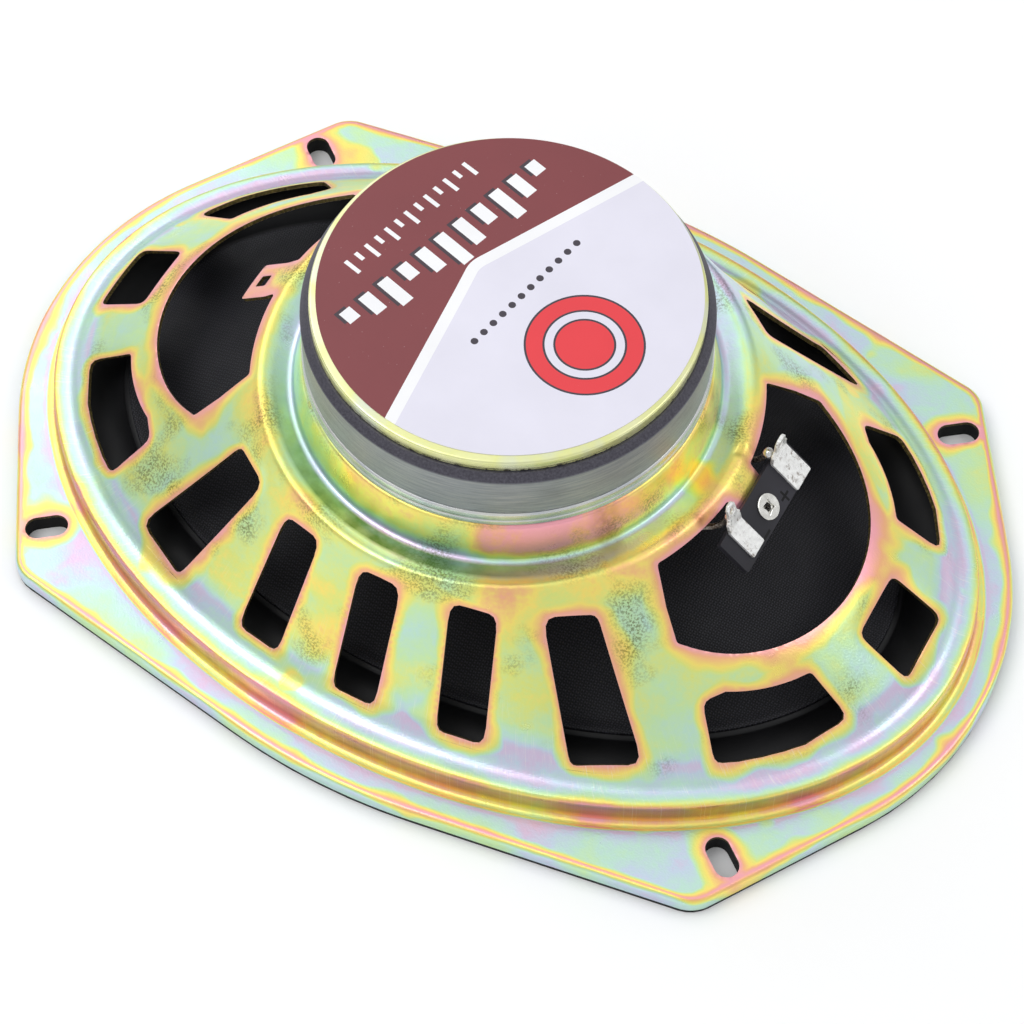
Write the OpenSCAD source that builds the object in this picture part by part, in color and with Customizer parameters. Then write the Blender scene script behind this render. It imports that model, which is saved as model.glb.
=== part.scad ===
// Oval coaxial car speaker, lying face down: stamped basket, motor, cone assembly and tweeter pod.
// Millimetres. Origin: centre of the gasket's front face. +Z points from there to the magnet,
// +X along the long axis, towards the terminals.

/* [Flange] */
// Overall length of the mounting flange
flange_length = 235; // [225:0.5:240]
// Overall width of the mounting flange
flange_width = 168.4; // [164:0.2:172]
// Radius of the flange's two ends
end_radius = 70.2; // [68:0.1:72]
// Direction that the slanted side beside an ear faces, from the long axis
ear_side_angle = 32.5; // [31:0.5:34]
// Direction that the long side faces where it leaves an ear
long_side_angle = 81.2; // [80:0.2:82]
// Radius of the shallow crest of each long side
crest_radius = 143.5; // [130:0.5:160]
// Radius of the ears' corners
ear_radius = 8; // [5:0.5:10]
// Height of the flange's rear face over the gasket's front face
flange_z = 5; // [4.6:0.1:6]
// Height of the turned-down rim's lower edge
rim_z = 1.2; // [0.8:0.1:1.6]
// Distance between the mounting slots along the long axis
slot_pitch_x = 168; // [164:0.5:170]
// Distance between the mounting slots across the long axis
slot_pitch_y = 120.4; // [118:0.2:122]
// End-to-end length of a mounting slot
slot_length = 9.6; // [8:0.1:10]
// Width of a mounting slot
slot_width = 5.4; // [4.5:0.1:5.8]
// Direction of the mounting slots, from the long axis
slot_angle = 38; // [30:1:45]

/* [Basket] */
// Thickness of the stamped sheet
sheet = 0.9; // [0.7:0.1:1]
// Length of the raised oval
oval_length = 219.8; // [216:0.2:222]
// Width of the raised oval
oval_width = 152.2; // [150:0.2:154]
// Height of the raised oval's upright wall
step_height = 6.9; // [6:0.1:8]
// Width of the flat ledge on top of that wall
ledge_width = 3.7; // [3.4:0.1:4]
// Inset of the shoulder where the ledge turns into the sloping wall
shoulder_inset = 8.3; // [8:0.1:9]
// Height of that shoulder
shoulder_z = 15.8; // [15:0.1:17]
// Radius of the hub's outer crease
hub_radius = 53; // [52:0.1:54]
// Height of the hub's outer crease
hub_z = 47.7; // [46:0.1:49]
// Radius at the foot of the hub's neck
neck_foot_radius = 45.8; // [45:0.1:46.5]
// Radius at the top of the hub's neck
neck_top_radius = 43.6; // [43.4:0.1:44]

/* [Terminals] */
// Distance from the centre to the hole in each hub tab
tab_hole_x = 61.2; // [60:0.1:62]
// Height of the tab's rear face at that hole
tab_hole_z = 40.6; // [40:0.1:41]
// Slope of the tabs
tab_slope = 39; // [36:1:42]
// Length of the terminal board
board_length = 30; // [29:0.5:32]
// Width of the terminal board
board_width = 9; // [8.5:0.1:9.5]
// Thickness of the terminal board
board_thickness = 1.3; // [1:0.1:1.6]
// Thickness of the terminals' plated strip
strip = 0.8; // [0.6:0.1:0.9]

/* [Motor] */
// Height of the neck's top, where the front plate of the motor sits
plate_z = 56; // [55:0.5:57]
// Thickness of the top plate
top_plate_thickness = 4.2; // [4:0.1:5]
// Radius of the top plate
top_plate_radius = 43.3; // [43:0.1:43.4]
// Radius of the ferrite ring
magnet_radius = 43; // [42:0.1:43.2]
// Thickness of the ferrite ring
magnet_thickness = 12.9; // [12:0.1:14]
// Radius of the back plate
back_plate_radius = 41; // [40:0.1:41.5]
// Thickness of the back plate
back_plate_thickness = 3; // [2.8:0.1:4]
// Radius of the pole
pole_radius = 14.8; // [14.6:0.1:14.9]
// Radius of the printed label
label_radius = 39.9; // [38:0.1:40]
// How far the label is stuck off the plate's centre
label_offset = 0.8; // [0:0.1:1]

/* [Cone assembly] */
// Inner radius of the voice coil's former
coil_radius = 15.25; // [15.2:0.01:15.3]
// Height of the winding above the middle of the top plate, each way
winding_half = 4; // [3.5:0.1:4.5]
// Inset of the cone's outer edge from the raised oval
cone_inset = 17; // [16.5:0.1:18]
// Thickness of the cone
cone_thickness = 0.8; // [0.6:0.1:0.9]
// Height of the cone's neck
cone_neck_z = 40; // [39:0.5:41]
// Thickness of the surround
surround_thickness = 0.7; // [0.5:0.1:0.8]
// Diameter of the braided tinsel leads
lead_diameter = 1.4; // [1.2:0.1:1.6]

/* [Tweeter] */
// Height of the pod's front edge over the gasket's front face
pod_front_z = 3; // [2.5:0.1:4]
// Outer radius of the tweeter's pod
pod_radius = 23; // [22:0.5:24]
// Outer radius of the dome
dome_radius = 12.6; // [12.5:0.1:12.7]
// Radius of the post that carries the pod
post_radius = 4; // [3.5:0.1:4.2]

/* [Hidden] */
$fn = 96;

mid_bend = 1 - cos(45);

// Flange outline: end arc, ear corner and crest arc of one quarter.
end_x = flange_length / 2 - end_radius;
crest_y = flange_width / 2 - crest_radius;
side_reach = end_x * cos(ear_side_angle) + end_radius - ear_radius;
long_reach = crest_y * sin(long_side_angle) + crest_radius - ear_radius;
ear_turn = sin(long_side_angle - ear_side_angle);
ear_x = (side_reach * sin(long_side_angle) - long_reach * sin(ear_side_angle)) / ear_turn;
ear_y = (long_reach * cos(ear_side_angle) - side_reach * cos(long_side_angle)) / ear_turn;

// Inset of the gasket's outer edge from the flange's outline.
gasket_inset = 0.1;

// Basket heights and radii.
bend = 1.2;
ledge_z = flange_z + step_height;
ledge_under_z = ledge_z - sheet;
hub_ledge_z = 46.4;
hub_under_z = hub_ledge_z - sheet;
neck_hole_radius = 24;
window_corner = 1.6;
window_fn = 16;
large_window_x = 48;
large_window_radius = 35.5;
large_window_wall = 6.6;
hub_edge_radius = 55.2;
// Corners of the windows in plan, in the quarter towards +X and +Y, before their rounding is added.
middle_slot = [[-3.3, 56.6], [3.3, 56.6], [3.6, 66.8], [-3.6, 66.8]];
second_slot = [[17.2, 54.6], [24.1, 52.6], [28, 64.2], [20.9, 65.4]];
third_slot = [[36.1, 46.2], [42.1, 42.2], [59.4, 53.8], [48.6, 58.6]];
end_window = [[91, -6.7], [91, 6.7], [99.6, 7], [99.6, -7]];
corner_window = [[82, 20.8], [96, 24], [93, 40], [75, 52], [67, 41], [68, 34]];
large_window_cut = [[30, 10.9], [58.5, 34], [58.5, 60], [30, 60]];
tab_half = 5.2;
tab_tip = 3.9;
tab_hole = 3.2;
tab_root = 8.6;

// Motor heights.
magnet_z = plate_z + top_plate_thickness;
back_plate_z = magnet_z + magnet_thickness;
label_z = back_plate_z + back_plate_thickness;
label_thickness = 0.15;
gap_radius = 16.6;
magnet_bore = 21;
post_hole_radius = 2.5;
post_hole_depth = 9;
rivet_ring = 33;
rivet_radius = 2;
rivet_clearance = 0.05;
rivet_head = 3.2;
rivet_head_height = 1;
rivet_depth = 2.2;

// Cone assembly.
former_wall = 0.2;
winding_wall = 0.6;
winding_mid = plate_z + top_plate_thickness / 2;
neck_radius = coil_radius + former_wall + 0.05;
post_gap = 1.6;
cone_rim_z = ledge_under_z - surround_thickness;
cone_lip = 2.2;
cone_flare = 0.85;
surround_gap = 0.3;
glue_gap = 0.03;
surround_lip = 3;
roll_width = cone_inset - sheet - surround_gap - surround_lip;
roll_height = 5.6;
spider_z = hub_under_z;
spider_thickness = 0.5;
spider_wave = 1.1;
spider_waves = 5;
spider_inner = coil_radius + former_wall + 0.05;
spider_outer = 51;
spider_roll_start = 19.5;
spider_roll_end = 44.5;

// Terminals, measured on the tab's rear face from the rivet, +X down the slope.
board_shift = -0.5;
eyelet_radius = 1.5;
eyelet_head = 2.9;
plus_y = 11;
plus_width = 6.3;
minus_y = -9.3;
minus_width = 4.9;
terminal_start = -4.6;
solder_radius = 1.25;

// Tweeter pod.
pod_back_z = 24;
pod_wall = 1.2;
dome_z = pod_front_z + 6.2;
dome_height = 3.6;
yoke_radius = 17;
yoke_front_z = dome_z + 1.2;
yoke_depth = 7.6;
yoke_floor = 1.8;
yoke_floor_z = yoke_front_z + yoke_depth - yoke_floor;
tweeter_magnet_radius = 10.6;
tweeter_gap = 0.6;
pole_thickness = 2.5;
suspension_outer = 18.6;
nut_height = 3;
nut_radius = 4.6;
capacitor_x = 10.5;
capacitor_radius = 2.1;
capacitor_length = 11;
tweeter_lead_diameter = 1;

// Routes of the flexible leads, terminal or pod end first.
positive_route = [[57, 9, 46.6], [56.6, 9, 45.2], [55.9, 9.1, 43.4], [54, 9.4, 41], [50.5, 10, 38.8],
    [47, 10.6, 37.4], [43, 10.9, 36.8], [39, 10.9, 36.8], [36, 10.8, 36.2], [33.6, 10.6, 34.8],
    [32.3, 10.5, 32.9], [32, 10.5, 31.8], [32, 10.5, 30.7]];
negative_route = [for (p = positive_route) [p[0], -p[1], p[2]]];
tweeter_positive_route = [[18.2, 7.5, 18.6], [21.2, 7.6, 18.6], [24.4, 8, 19], [27.2, 8.8, 20.2],
    [29.6, 9.7, 22.2], [31.2, 10.3, 24.8], [31.9, 10.5, 27.4], [32, 10.5, 28.8], [32, 10.5, 30.1]];
tweeter_negative_route = [for (p = tweeter_positive_route) [p[0], -p[1], p[2]]];
dab_x = 32;
dab_y = 10.5;
dab_z = 30.4;
dab_height = 3.6;
dab_radius = 2.2;
dab_bore = 1.05;

function mix(a, b, f) = a + (b - a) * f;
function arc(x, y, r, a0, a1, n) =
    [for (i = [0:n]) let (a = mix(a0, a1, i / n)) [x + r * cos(a), y + r * sin(a)]];
function between(p, q, n) = [for (i = [1:n - 1]) mix(p, q, i / n)];
function last(list) = list[len(list) - 1];

// One quarter of the flange's outline, moved inwards by inset.
function flange_quarter(inset) =
    let (ends = arc(end_x, 0, end_radius - inset, 0, ear_side_angle, 6),
        ear = arc(ear_x, ear_y, ear_radius - inset, ear_side_angle, long_side_angle, 4),
        crest = arc(0, crest_y, crest_radius - inset, long_side_angle, 90, 3))
    concat(ends, between(last(ends), ear[0], 4), ear, between(last(ear), crest[0], 6), crest);
function mirror_quarter(points) =
    let (n = len(points))
    concat(points,
        [for (i = [n - 2:-1:0]) [-points[i][0], points[i][1]]],
        [for (i = [1:n - 1]) [-points[i][0], -points[i][1]]],
        [for (i = [n - 2:-1:1]) [points[i][0], -points[i][1]]]);
function flange_outline(inset) = mirror_quarter(flange_quarter(inset));
station_angles = [for (p = flange_outline(0)) atan2(p[1], p[0])];

// Radius of the raised oval, grown by grow, in direction a.
function oval_radius(a, grow) =
    1 / sqrt(pow(cos(a) / (oval_length / 2 + grow), 2) + pow(sin(a) / (oval_width / 2 + grow), 2));

// Rings of points at the stations: on the flange, the oval, the sloping wall, the hub and the cone.
function ring_flange(inset, z) = [for (p = flange_outline(inset)) [p[0], p[1], z]];
function ring_polar(radii, z) =
    [for (i = [0:len(station_angles) - 1]) let (a = station_angles[i])
        [radii[i] * cos(a), radii[i] * sin(a), z]];
function ring_oval(grow, z) = ring_polar([for (a = station_angles) oval_radius(a, grow)], z);
function ring_round(r, z) = ring_polar([for (a = station_angles) r], z);
function ring_slope(f, shift) =
    ring_polar([for (a = station_angles) mix(oval_radius(a, -shoulder_inset), hub_radius, f) - shift],
        mix(shoulder_z, hub_z, f) - shift);
function cone_z(f) = mix(cone_neck_z, cone_rim_z + cone_thickness, pow(f, cone_flare));
function ring_cone(f, drop) =
    ring_polar([for (a = station_angles)
        mix(neck_radius, oval_radius(a, -cone_inset - cone_lip), f)], cone_z(f) - drop);

// A closed ring-shaped solid whose surface runs through the given rings and back to the first.
module ring_solid(rings) {
    n = len(rings[0]);
    m = len(rings);
    points = [for (ring = rings) each ring];
    faces = [for (i = [0:m - 1], j = [0:n - 1])
        let (a = i * n + j, b = i * n + (j + 1) % n,
            c = ((i + 1) % m) * n + (j + 1) % n, d = ((i + 1) % m) * n + j)
        each [[a, c, b], [a, d, c]]];
    polyhedron(points, faces, convexity = 8);
}

// A straight-sided tube swept along a route of points.
module swept(route, d, sides) {
    n = len(route);
    heading = [for (i = [0:n - 1]) route[min(i + 1, n - 1)] - route[max(i - 1, 0)]];
    points = [for (i = [0:n - 1])
        let (t = heading[i] / norm(heading[i]), u = cross(t, [0, 1, 0]) / norm(cross(t, [0, 1, 0])),
            v = cross(t, u))
        for (k = [0:sides - 1]) route[i] + d / 2 * (cos(360 * k / sides) * u + sin(360 * k / sides) * v)];
    walls = [for (i = [0:n - 2], k = [0:sides - 1])
        let (a = i * sides + k, b = i * sides + (k + 1) % sides) [a, a + sides, b + sides, b]];
    caps = [[for (k = [0:sides - 1]) k], [for (k = [sides - 1:-1:0]) (n - 1) * sides + k]];
    polyhedron(points, concat(walls, caps), convexity = 4);
}

module rounded(corners, r) hull() for (p = corners) translate(p) circle(r, $fn = window_fn);
module ring(r_outer, r_inner, z, height) {
    translate([0, 0, z]) difference() {
        cylinder(r = r_outer, h = height);
        translate([0, 0, -1]) cylinder(r = r_inner, h = height + 2);
    }
}

module mounting_slots(z, height) {
    reach = (slot_length - slot_width) / 2;
    for (sx = [-1, 1], sy = [-1, 1])
        translate([sx * slot_pitch_x / 2, sy * slot_pitch_y / 2, z])
            rotate(sx * sy * slot_angle)
                hull() for (s = [-1, 1]) translate([s * reach, 0])
                    cylinder(d = slot_width, h = height, $fn = 32);
}

// The windows in plan: five slots on each long side, three perimeter windows at each end, and a
// large window on each end of the hub.
module quarters() for (sx = [-1, 1], sy = [-1, 1]) scale([sx, sy]) children();
module round_corners() offset(r = window_corner, $fn = window_fn) offset(delta = -window_corner) children();

module side_slots() {
    for (sy = [-1, 1]) scale([1, sy]) rounded(middle_slot, window_corner);
    quarters() {
        rounded(second_slot, window_corner);
        rounded(third_slot, window_corner);
    }
}

module end_windows() {
    for (sx = [-1, 1]) scale([sx, 1]) rounded(end_window, window_corner);
    quarters() round_corners() difference() {
        intersection() {
            polygon(corner_window);
            scale([oval_length / 2 - shoulder_inset, oval_width / 2 - shoulder_inset]) circle(1, $fn = 64);
        }
        translate([large_window_x, 0]) circle(large_window_radius + large_window_wall, $fn = 48);
    }
}

module large_windows() {
    for (sx = [-1, 1]) scale([sx, 1]) round_corners() difference() {
        translate([large_window_x, 0]) circle(large_window_radius, $fn = 64);
        circle(hub_edge_radius, $fn = 64);
        for (sy = [-1, 1]) scale([1, sy]) polygon(large_window_cut);
    }
}

// Moves to the tab's rear face at its hole: +X down the slope, +Z away from the basket.
module on_tab() translate([tab_hole_x, 0, tab_hole_z]) rotate([0, tab_slope, 0]) children();

module tab() {
    on_tab() difference() {
        translate([-tab_root, -tab_half, -sheet]) cube([tab_root + tab_tip, 2 * tab_half, sheet]);
        translate([-tab_hole / 2, -tab_hole / 2, -2]) cube([tab_hole, tab_hole, 3]);
    }
}

module basket_skin() {
    front_bend = bend + sheet;
    tight_bend = bend - sheet;
    shift = 0.75 * sheet;
    flange_under = flange_z - sheet;
    rear = [
        ring_flange(0, rim_z), ring_flange(0, flange_z - bend),
        ring_flange(mid_bend * bend, flange_z - mid_bend * bend), ring_flange(bend, flange_z),
        ring_oval(bend, flange_z), ring_oval(mid_bend * bend, flange_z + mid_bend * bend),
        ring_oval(0, flange_z + bend), ring_oval(0, ledge_z - bend),
        ring_oval(-mid_bend * bend, ledge_z - mid_bend * bend), ring_oval(-bend, ledge_z),
        ring_oval(-ledge_width, ledge_z), ring_oval(-ledge_width - 1.8, ledge_z + 0.9),
        ring_slope(0, 0), ring_slope(0.98, 0),
        ring_round(hub_radius - 1, hub_z), ring_round(hub_radius - 2.4, hub_z - 0.3),
        ring_round(neck_foot_radius + 1, hub_ledge_z),
        ring_round(neck_foot_radius, hub_ledge_z + 0.8), ring_round(neck_top_radius, plate_z - 1),
        ring_round(neck_top_radius - 1, plate_z), ring_round(neck_hole_radius, plate_z)];
    front = [
        ring_round(neck_hole_radius, plate_z - sheet),
        ring_round(neck_top_radius - 1.2, plate_z - sheet),
        ring_round(neck_top_radius - sheet - 0.2, plate_z - 1.4),
        ring_round(neck_foot_radius - sheet, hub_ledge_z + 0.2),
        ring_round(neck_foot_radius, hub_under_z),
        ring_round(hub_radius - 1.8, hub_under_z),
        ring_slope(0.97, shift), ring_slope(0, shift),
        ring_oval(-ledge_width - 2, ledge_under_z + 0.7),
        ring_oval(-ledge_width - 0.4, ledge_under_z), ring_oval(-bend, ledge_under_z),
        ring_oval(-sheet, ledge_under_z - tight_bend),
        ring_oval(-sheet, flange_under + front_bend),
        ring_oval(-sheet + mid_bend * front_bend, flange_under + mid_bend * front_bend),
        ring_oval(bend, flange_under), ring_flange(bend, flange_under),
        ring_flange(sheet, flange_under - tight_bend), ring_flange(sheet, rim_z)];
    ring_solid(concat(rear, front));
}

module basket() {
    color("khaki") union() {
        difference() {
            basket_skin();
            translate([0, 0, ledge_z + 0.5]) linear_extrude(hub_z) {
                side_slots();
                end_windows();
                large_windows();
            }
            mounting_slots(0, flange_z + 1);
            rivet_holes(plate_z - 2);
        }
        for (a = [0, 180]) rotate(a) tab();
    }
}

// A foam gasket that fills the flange and runs out under the rim's lower edge.
module front_gasket() {
    color("dimgray") difference() {
        union() {
            linear_extrude(flange_z - sheet) polygon(flange_outline(sheet + 0.4));
            linear_extrude(rim_z) polygon(flange_outline(gasket_inset));
        }
        translate([0, 0, -1]) linear_extrude(flange_z + 1)
            polygon([for (p = ring_oval(bend + 0.3, 0)) [p[0], p[1]]]);
        mounting_slots(-1, flange_z + 1);
    }
}

// The surround: a flat outer lip under the basket's ledge, a half roll towards the front and an
// inner lip under the cone's edge.
module surround() {
    outer = -sheet - surround_gap;
    top = ledge_under_z;
    roll_outer = outer - surround_lip;
    roll_mid = roll_outer - roll_width / 2;
    steps = 8;
    half = roll_width / 2;
    thin = surround_thickness;
    rear = [for (i = [0:steps]) let (a = 180 * i / steps)
        ring_oval(roll_mid + (half - thin) * cos(a), top - (roll_height - thin) * sin(a))];
    front = [for (i = [steps:-1:0]) let (a = 180 * i / steps)
        ring_oval(roll_mid + half * cos(a), top - thin - (roll_height - thin) * sin(a))];
    lip_end = -cone_inset - cone_lip;
    color("black") ring_solid(concat([ring_oval(outer, top)], rear,
        [ring_oval(lip_end, top), ring_oval(lip_end, top - thin)], front, [ring_oval(outer, top - thin)]));
}

// The cone: a rolled-out lip glued on the surround, with a hole for each lead's dab of glue.
module cone() {
    steps = 7;
    lip_z = ledge_under_z + glue_gap;
    lip = [for (z = [lip_z, lip_z + cone_thickness], grow = [-cone_inset - cone_lip, -cone_inset - 0.4])
        ring_oval(grow, z)];
    rear = [for (i = [steps - 1:-1:0]) ring_cone(i / steps, 0)];
    front = [for (i = [0:steps - 1]) ring_cone(i / steps, cone_thickness)];
    color("#202024") difference() {
        ring_solid(concat([lip[3], lip[2]], rear, front, [lip[0], lip[1]]));
        at_dabs() cylinder(r = dab_radius + 0.02, h = 4 * dab_height, center = true, $fn = 32);
    }
}

module spider() {
    n = spider_waves * 8;
    span = spider_roll_end - spider_roll_start;
    wave = [for (i = [0:n])
        [spider_roll_start + span * i / n, spider_z + spider_wave * sin(360 * spider_waves * i / n)]];
    flat = [[spider_outer, spider_z]];
    start = [[spider_inner, spider_z]];
    middle = concat(start, wave, flat);
    lower = [for (p = middle) [p[0], p[1] - spider_thickness]];
    color("goldenrod") rotate_extrude()
        polygon(concat(middle, [for (i = [len(lower) - 1:-1:0]) lower[i]]));
}

module voice_coil_former() {
    color("burlywood") ring(coil_radius + former_wall, coil_radius, cone_neck_z - 3,
        winding_mid + winding_half + 0.4 - (cone_neck_z - 3));
}

module voice_coil_winding() {
    color("sienna") ring(coil_radius + former_wall + winding_wall, coil_radius + former_wall,
        winding_mid - winding_half, 2 * winding_half);
}

// The annular dust seal inside the former, round the post.
module dust_ring() {
    color("black") ring(coil_radius - 0.02, post_radius + post_gap, cone_neck_z - 1, 2);
}

// Dabs of glue in the cone, where each terminal lead meets the tweeter's lead.
module at_dabs() for (sy = [-1, 1]) translate([dab_x, sy * dab_y, dab_z]) children();
module lead_glue_dabs() {
    color("#101010") at_dabs() difference() {
        cylinder(r = dab_radius, h = dab_height, center = true, $fn = 32);
        cylinder(r = dab_bore, h = dab_height + 1, center = true);
    }
}

module turned(points) rotate_extrude() polygon(points);

module top_plate() {
    c = 0.4;
    color("silver") difference() {
        translate([0, 0, plate_z]) turned([[gap_radius, 0], [top_plate_radius - c, 0],
            [top_plate_radius, c], [top_plate_radius, top_plate_thickness - c],
            [top_plate_radius - c, top_plate_thickness], [gap_radius, top_plate_thickness]]);
        rivet_holes(plate_z - 1);
    }
}

module ferrite_magnet() {
    chamfer = 1.6;
    edge = 0.4;
    color("dimgray") translate([0, 0, magnet_z]) turned([[magnet_bore, 0], [magnet_radius - edge, 0],
        [magnet_radius, edge], [magnet_radius, magnet_thickness - chamfer],
        [magnet_radius - chamfer, magnet_thickness], [magnet_bore, magnet_thickness]]);
}

// The back plate and the pole are one cold-headed piece, with a threaded hole for the post.
module back_plate() {
    c = 0.6;
    t = back_plate_thickness;
    down = plate_z - back_plate_z;
    color("palegoldenrod") translate([0, 0, back_plate_z]) turned([[0, down + post_hole_depth],
        [post_hole_radius, down + post_hole_depth], [post_hole_radius, down],
        [pole_radius - 0.5, down], [pole_radius, down + 0.5], [pole_radius, 0],
        [back_plate_radius - 0.3, 0], [back_plate_radius, 0.3], [back_plate_radius, t - c],
        [back_plate_radius - c, t], [0, t]]);
}

module magnet_label() {
    color("lavender") translate([0, label_offset, label_z]) cylinder(r = label_radius, h = label_thickness);
}

module at_rivets() for (a = [45:90:315]) rotate(a) translate([rivet_ring, 0, 0]) children();
module rivet_holes(z) {
    at_rivets() translate([0, 0, z])
        cylinder(r = rivet_radius + rivet_clearance, h = plate_z + rivet_depth + 0.2 - z, $fn = 32);
}
module staking_rivets() {
    color("silver") at_rivets() {
        translate([0, 0, plate_z - sheet - rivet_head_height])
            cylinder(r1 = rivet_head - 0.8, r2 = rivet_head, h = rivet_head_height);
        translate([0, 0, plate_z - sheet]) cylinder(r = rivet_radius, h = sheet + rivet_depth);
    }
}

module terminal_board() {
    color("#26242a") on_tab() difference() {
        translate([board_shift - board_width / 2, -board_length / 2, 0])
            cube([board_width, board_length, board_thickness]);
        translate([0, 0, -1]) cylinder(r = eyelet_radius + 0.05, h = 4);
    }
}

// A hollow rivet, rolled over on both sides.
module terminal_rivet() {
    head = 0.5;
    bore = 1;
    taper = 0.4;
    color("silver") on_tab() difference() {
        union() {
            translate([0, 0, -sheet - head]) cylinder(r = eyelet_head - taper, h = head);
            translate([0, 0, -sheet]) cylinder(r = eyelet_radius, h = sheet + board_thickness);
            translate([0, 0, board_thickness])
                cylinder(r1 = eyelet_head, r2 = eyelet_head - taper, h = head);
        }
        translate([0, 0, -3]) cylinder(r = bore, h = 6);
    }
}

// A terminal: a flat strip riveted along the board and a lug bent up at its inner end.
module terminal(y, width, flat_length, lug_length, lug_lean, lug_width, hole_r) {
    shoulder = lug_length * 0.45;
    color("gainsboro") on_tab() translate([0, y, board_thickness]) {
        translate([terminal_start, -width / 2, 0]) cube([flat_length, width, strip]);
        translate([terminal_start, 0, 0]) rotate([0, -tab_slope - lug_lean, 0]) difference() {
            linear_extrude_x(strip) polygon([[-width / 2, 0], [width / 2, 0],
                [lug_width / 2, shoulder], [lug_width / 2, lug_length],
                [-lug_width / 2, lug_length], [-lug_width / 2, shoulder]]);
            translate([-1, 0, lug_length - 2]) rotate([0, 90, 0]) cylinder(r = hole_r, h = 3);
        }
    }
}
// Extrudes a shape drawn in the Y-Z plane along +X.
module linear_extrude_x(t) rotate([90, 0, 90]) linear_extrude(t) children();

module positive_terminal() terminal(plus_y, plus_width, 8.5, 6.4, 0, 4.2, 0.8);
module negative_terminal() terminal(minus_y, minus_width, 7.6, 7.8, 15, 3.2, 0.9);

// Solder where each lead meets the foot of its terminal's lug.
module solder_joints() {
    color("lightgray") for (route = [positive_route, negative_route])
        translate(route[0] + [0.4, 0, 0]) sphere(r = solder_radius, $fn = 24);
}

module positive_lead() color("peru") swept(positive_route, lead_diameter, 8);
module negative_lead() color("peru") swept(negative_route, lead_diameter, 8);
module tweeter_lead_positive() color("firebrick") swept(tweeter_positive_route, tweeter_lead_diameter, 8);
module tweeter_lead_negative() color("black") swept(tweeter_negative_route, tweeter_lead_diameter, 8);

module tweeter_post() {
    thread = post_hole_radius - 0.03;
    color("silver") translate([0, 0, pod_back_z - 5]) turned([[0, 0], [thread, 0], [thread, 5],
        [post_radius, 5], [post_radius, plate_z - pod_back_z + 5], [thread, plate_z - pod_back_z + 5],
        [thread, plate_z - pod_back_z + 5 + post_hole_depth - 1],
        [0, plate_z - pod_back_z + 5 + post_hole_depth - 1]]);
}

// The nut inside the pod that holds it on the post's thread.
module post_nut() {
    color("silver") translate([0, 0, pod_back_z - pod_wall - nut_height]) difference() {
        cylinder(r = nut_radius, h = nut_height, $fn = 6);
        translate([0, 0, -1]) cylinder(r = post_hole_radius, h = nut_height + 2);
    }
}

// The pod: a cup whose inner shelf holds the yoke and carries the suspension's rim.
module tweeter_housing() {
    w = pod_wall;
    shelf = yoke_radius + 0.03;
    shelf_z = dome_z + 0.25;
    color("#1c1c1e") difference() {
        turned([[pod_radius - w, pod_front_z], [pod_radius, pod_front_z],
            [pod_radius, pod_back_z - 9], [pod_radius - 2, pod_back_z - 4], [12, pod_back_z],
            [post_hole_radius + 0.05, pod_back_z], [post_hole_radius + 0.05, pod_back_z - w],
            [11.6, pod_back_z - w], [pod_radius - 2 - w, pod_back_z - 4 - w],
            [pod_radius - w, pod_back_z - 9 - w], [shelf, pod_back_z - 9 - w], [shelf, shelf_z],
            [pod_radius - w, shelf_z]]);
        for (route = [tweeter_positive_route, tweeter_negative_route])
            translate(route[0]) rotate([0, 90, 0]) cylinder(d = tweeter_lead_diameter + 0.6, h = 6);
    }
}

module tweeter_yoke() {
    color("silver") translate([0, 0, yoke_front_z]) difference() {
        cylinder(r = yoke_radius, h = yoke_depth);
        translate([0, 0, -1]) cylinder(r = dome_radius + tweeter_gap, h = yoke_depth - yoke_floor + 1);
    }
}

module tweeter_magnet() {
    color("dimgray") translate([0, 0, yoke_front_z + pole_thickness])
        cylinder(r = tweeter_magnet_radius, h = yoke_floor_z - yoke_front_z - pole_thickness);
}

module tweeter_pole_plate() {
    color("silver") translate([0, 0, yoke_front_z]) cylinder(r = dome_radius - 1, h = pole_thickness);
}

module tweeter_voice_coil() {
    color("sienna") ring(dome_radius - 0.05, dome_radius - 0.55, dome_z + 0.3, 4);
}

// A thin cap, bulging towards the front.
module tweeter_dome() {
    rise = dome_height;
    base = dome_radius;
    r = (base * base + rise * rise) / (2 * rise);
    t = 0.3;
    half = asin(base / r);
    n = 8;
    outer = [for (i = [0:n]) let (a = half * i / n) [r * sin(a), dome_z - rise + r * (1 - cos(a))]];
    color("darkgoldenrod") turned(concat(outer, [for (i = [n:-1:0]) [outer[i][0], outer[i][1] + t]]));
}

module tweeter_suspension() {
    inner = dome_radius + 0.3;
    roll = 1.1;
    n = 6;
    t = 0.2;
    hump = [for (i = [0:n]) let (a = 180 - 180 * i / n)
        [inner + roll + roll * cos(a), dome_z - roll * sin(a)]];
    rim = [suspension_outer, dome_z];
    lower = concat(hump, [rim]);
    color("darkgoldenrod") turned(concat(lower,
        [for (i = [len(lower) - 1:-1:0]) [lower[i][0], lower[i][1] + t]]));
}

// The ring that clamps the suspension and flares towards the front.
module tweeter_face_ring() {
    color("#1c1c1e") turned([[15.6, dome_z - 0.05], [15.6, dome_z - 1.6], [20.6, pod_front_z + 0.4],
        [pod_radius - pod_wall - 0.1, pod_front_z + 0.4], [pod_radius - pod_wall - 0.1, pod_front_z + 2],
        [suspension_outer, dome_z - 0.05]]);
}

// Three arms and a centre disc that guard the dome.
module tweeter_grille() {
    color("#1c1c1e") translate([0, 0, pod_front_z - 0.8]) {
        cylinder(r = 4.5, h = 1.2);
        for (a = [90:120:330]) rotate(a) translate([4, -1, 0]) cube([16.4, 2, 1.2]);
        ring(pod_radius - pod_wall - 0.1, 19.4, 0, 1.2);
    }
}

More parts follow.
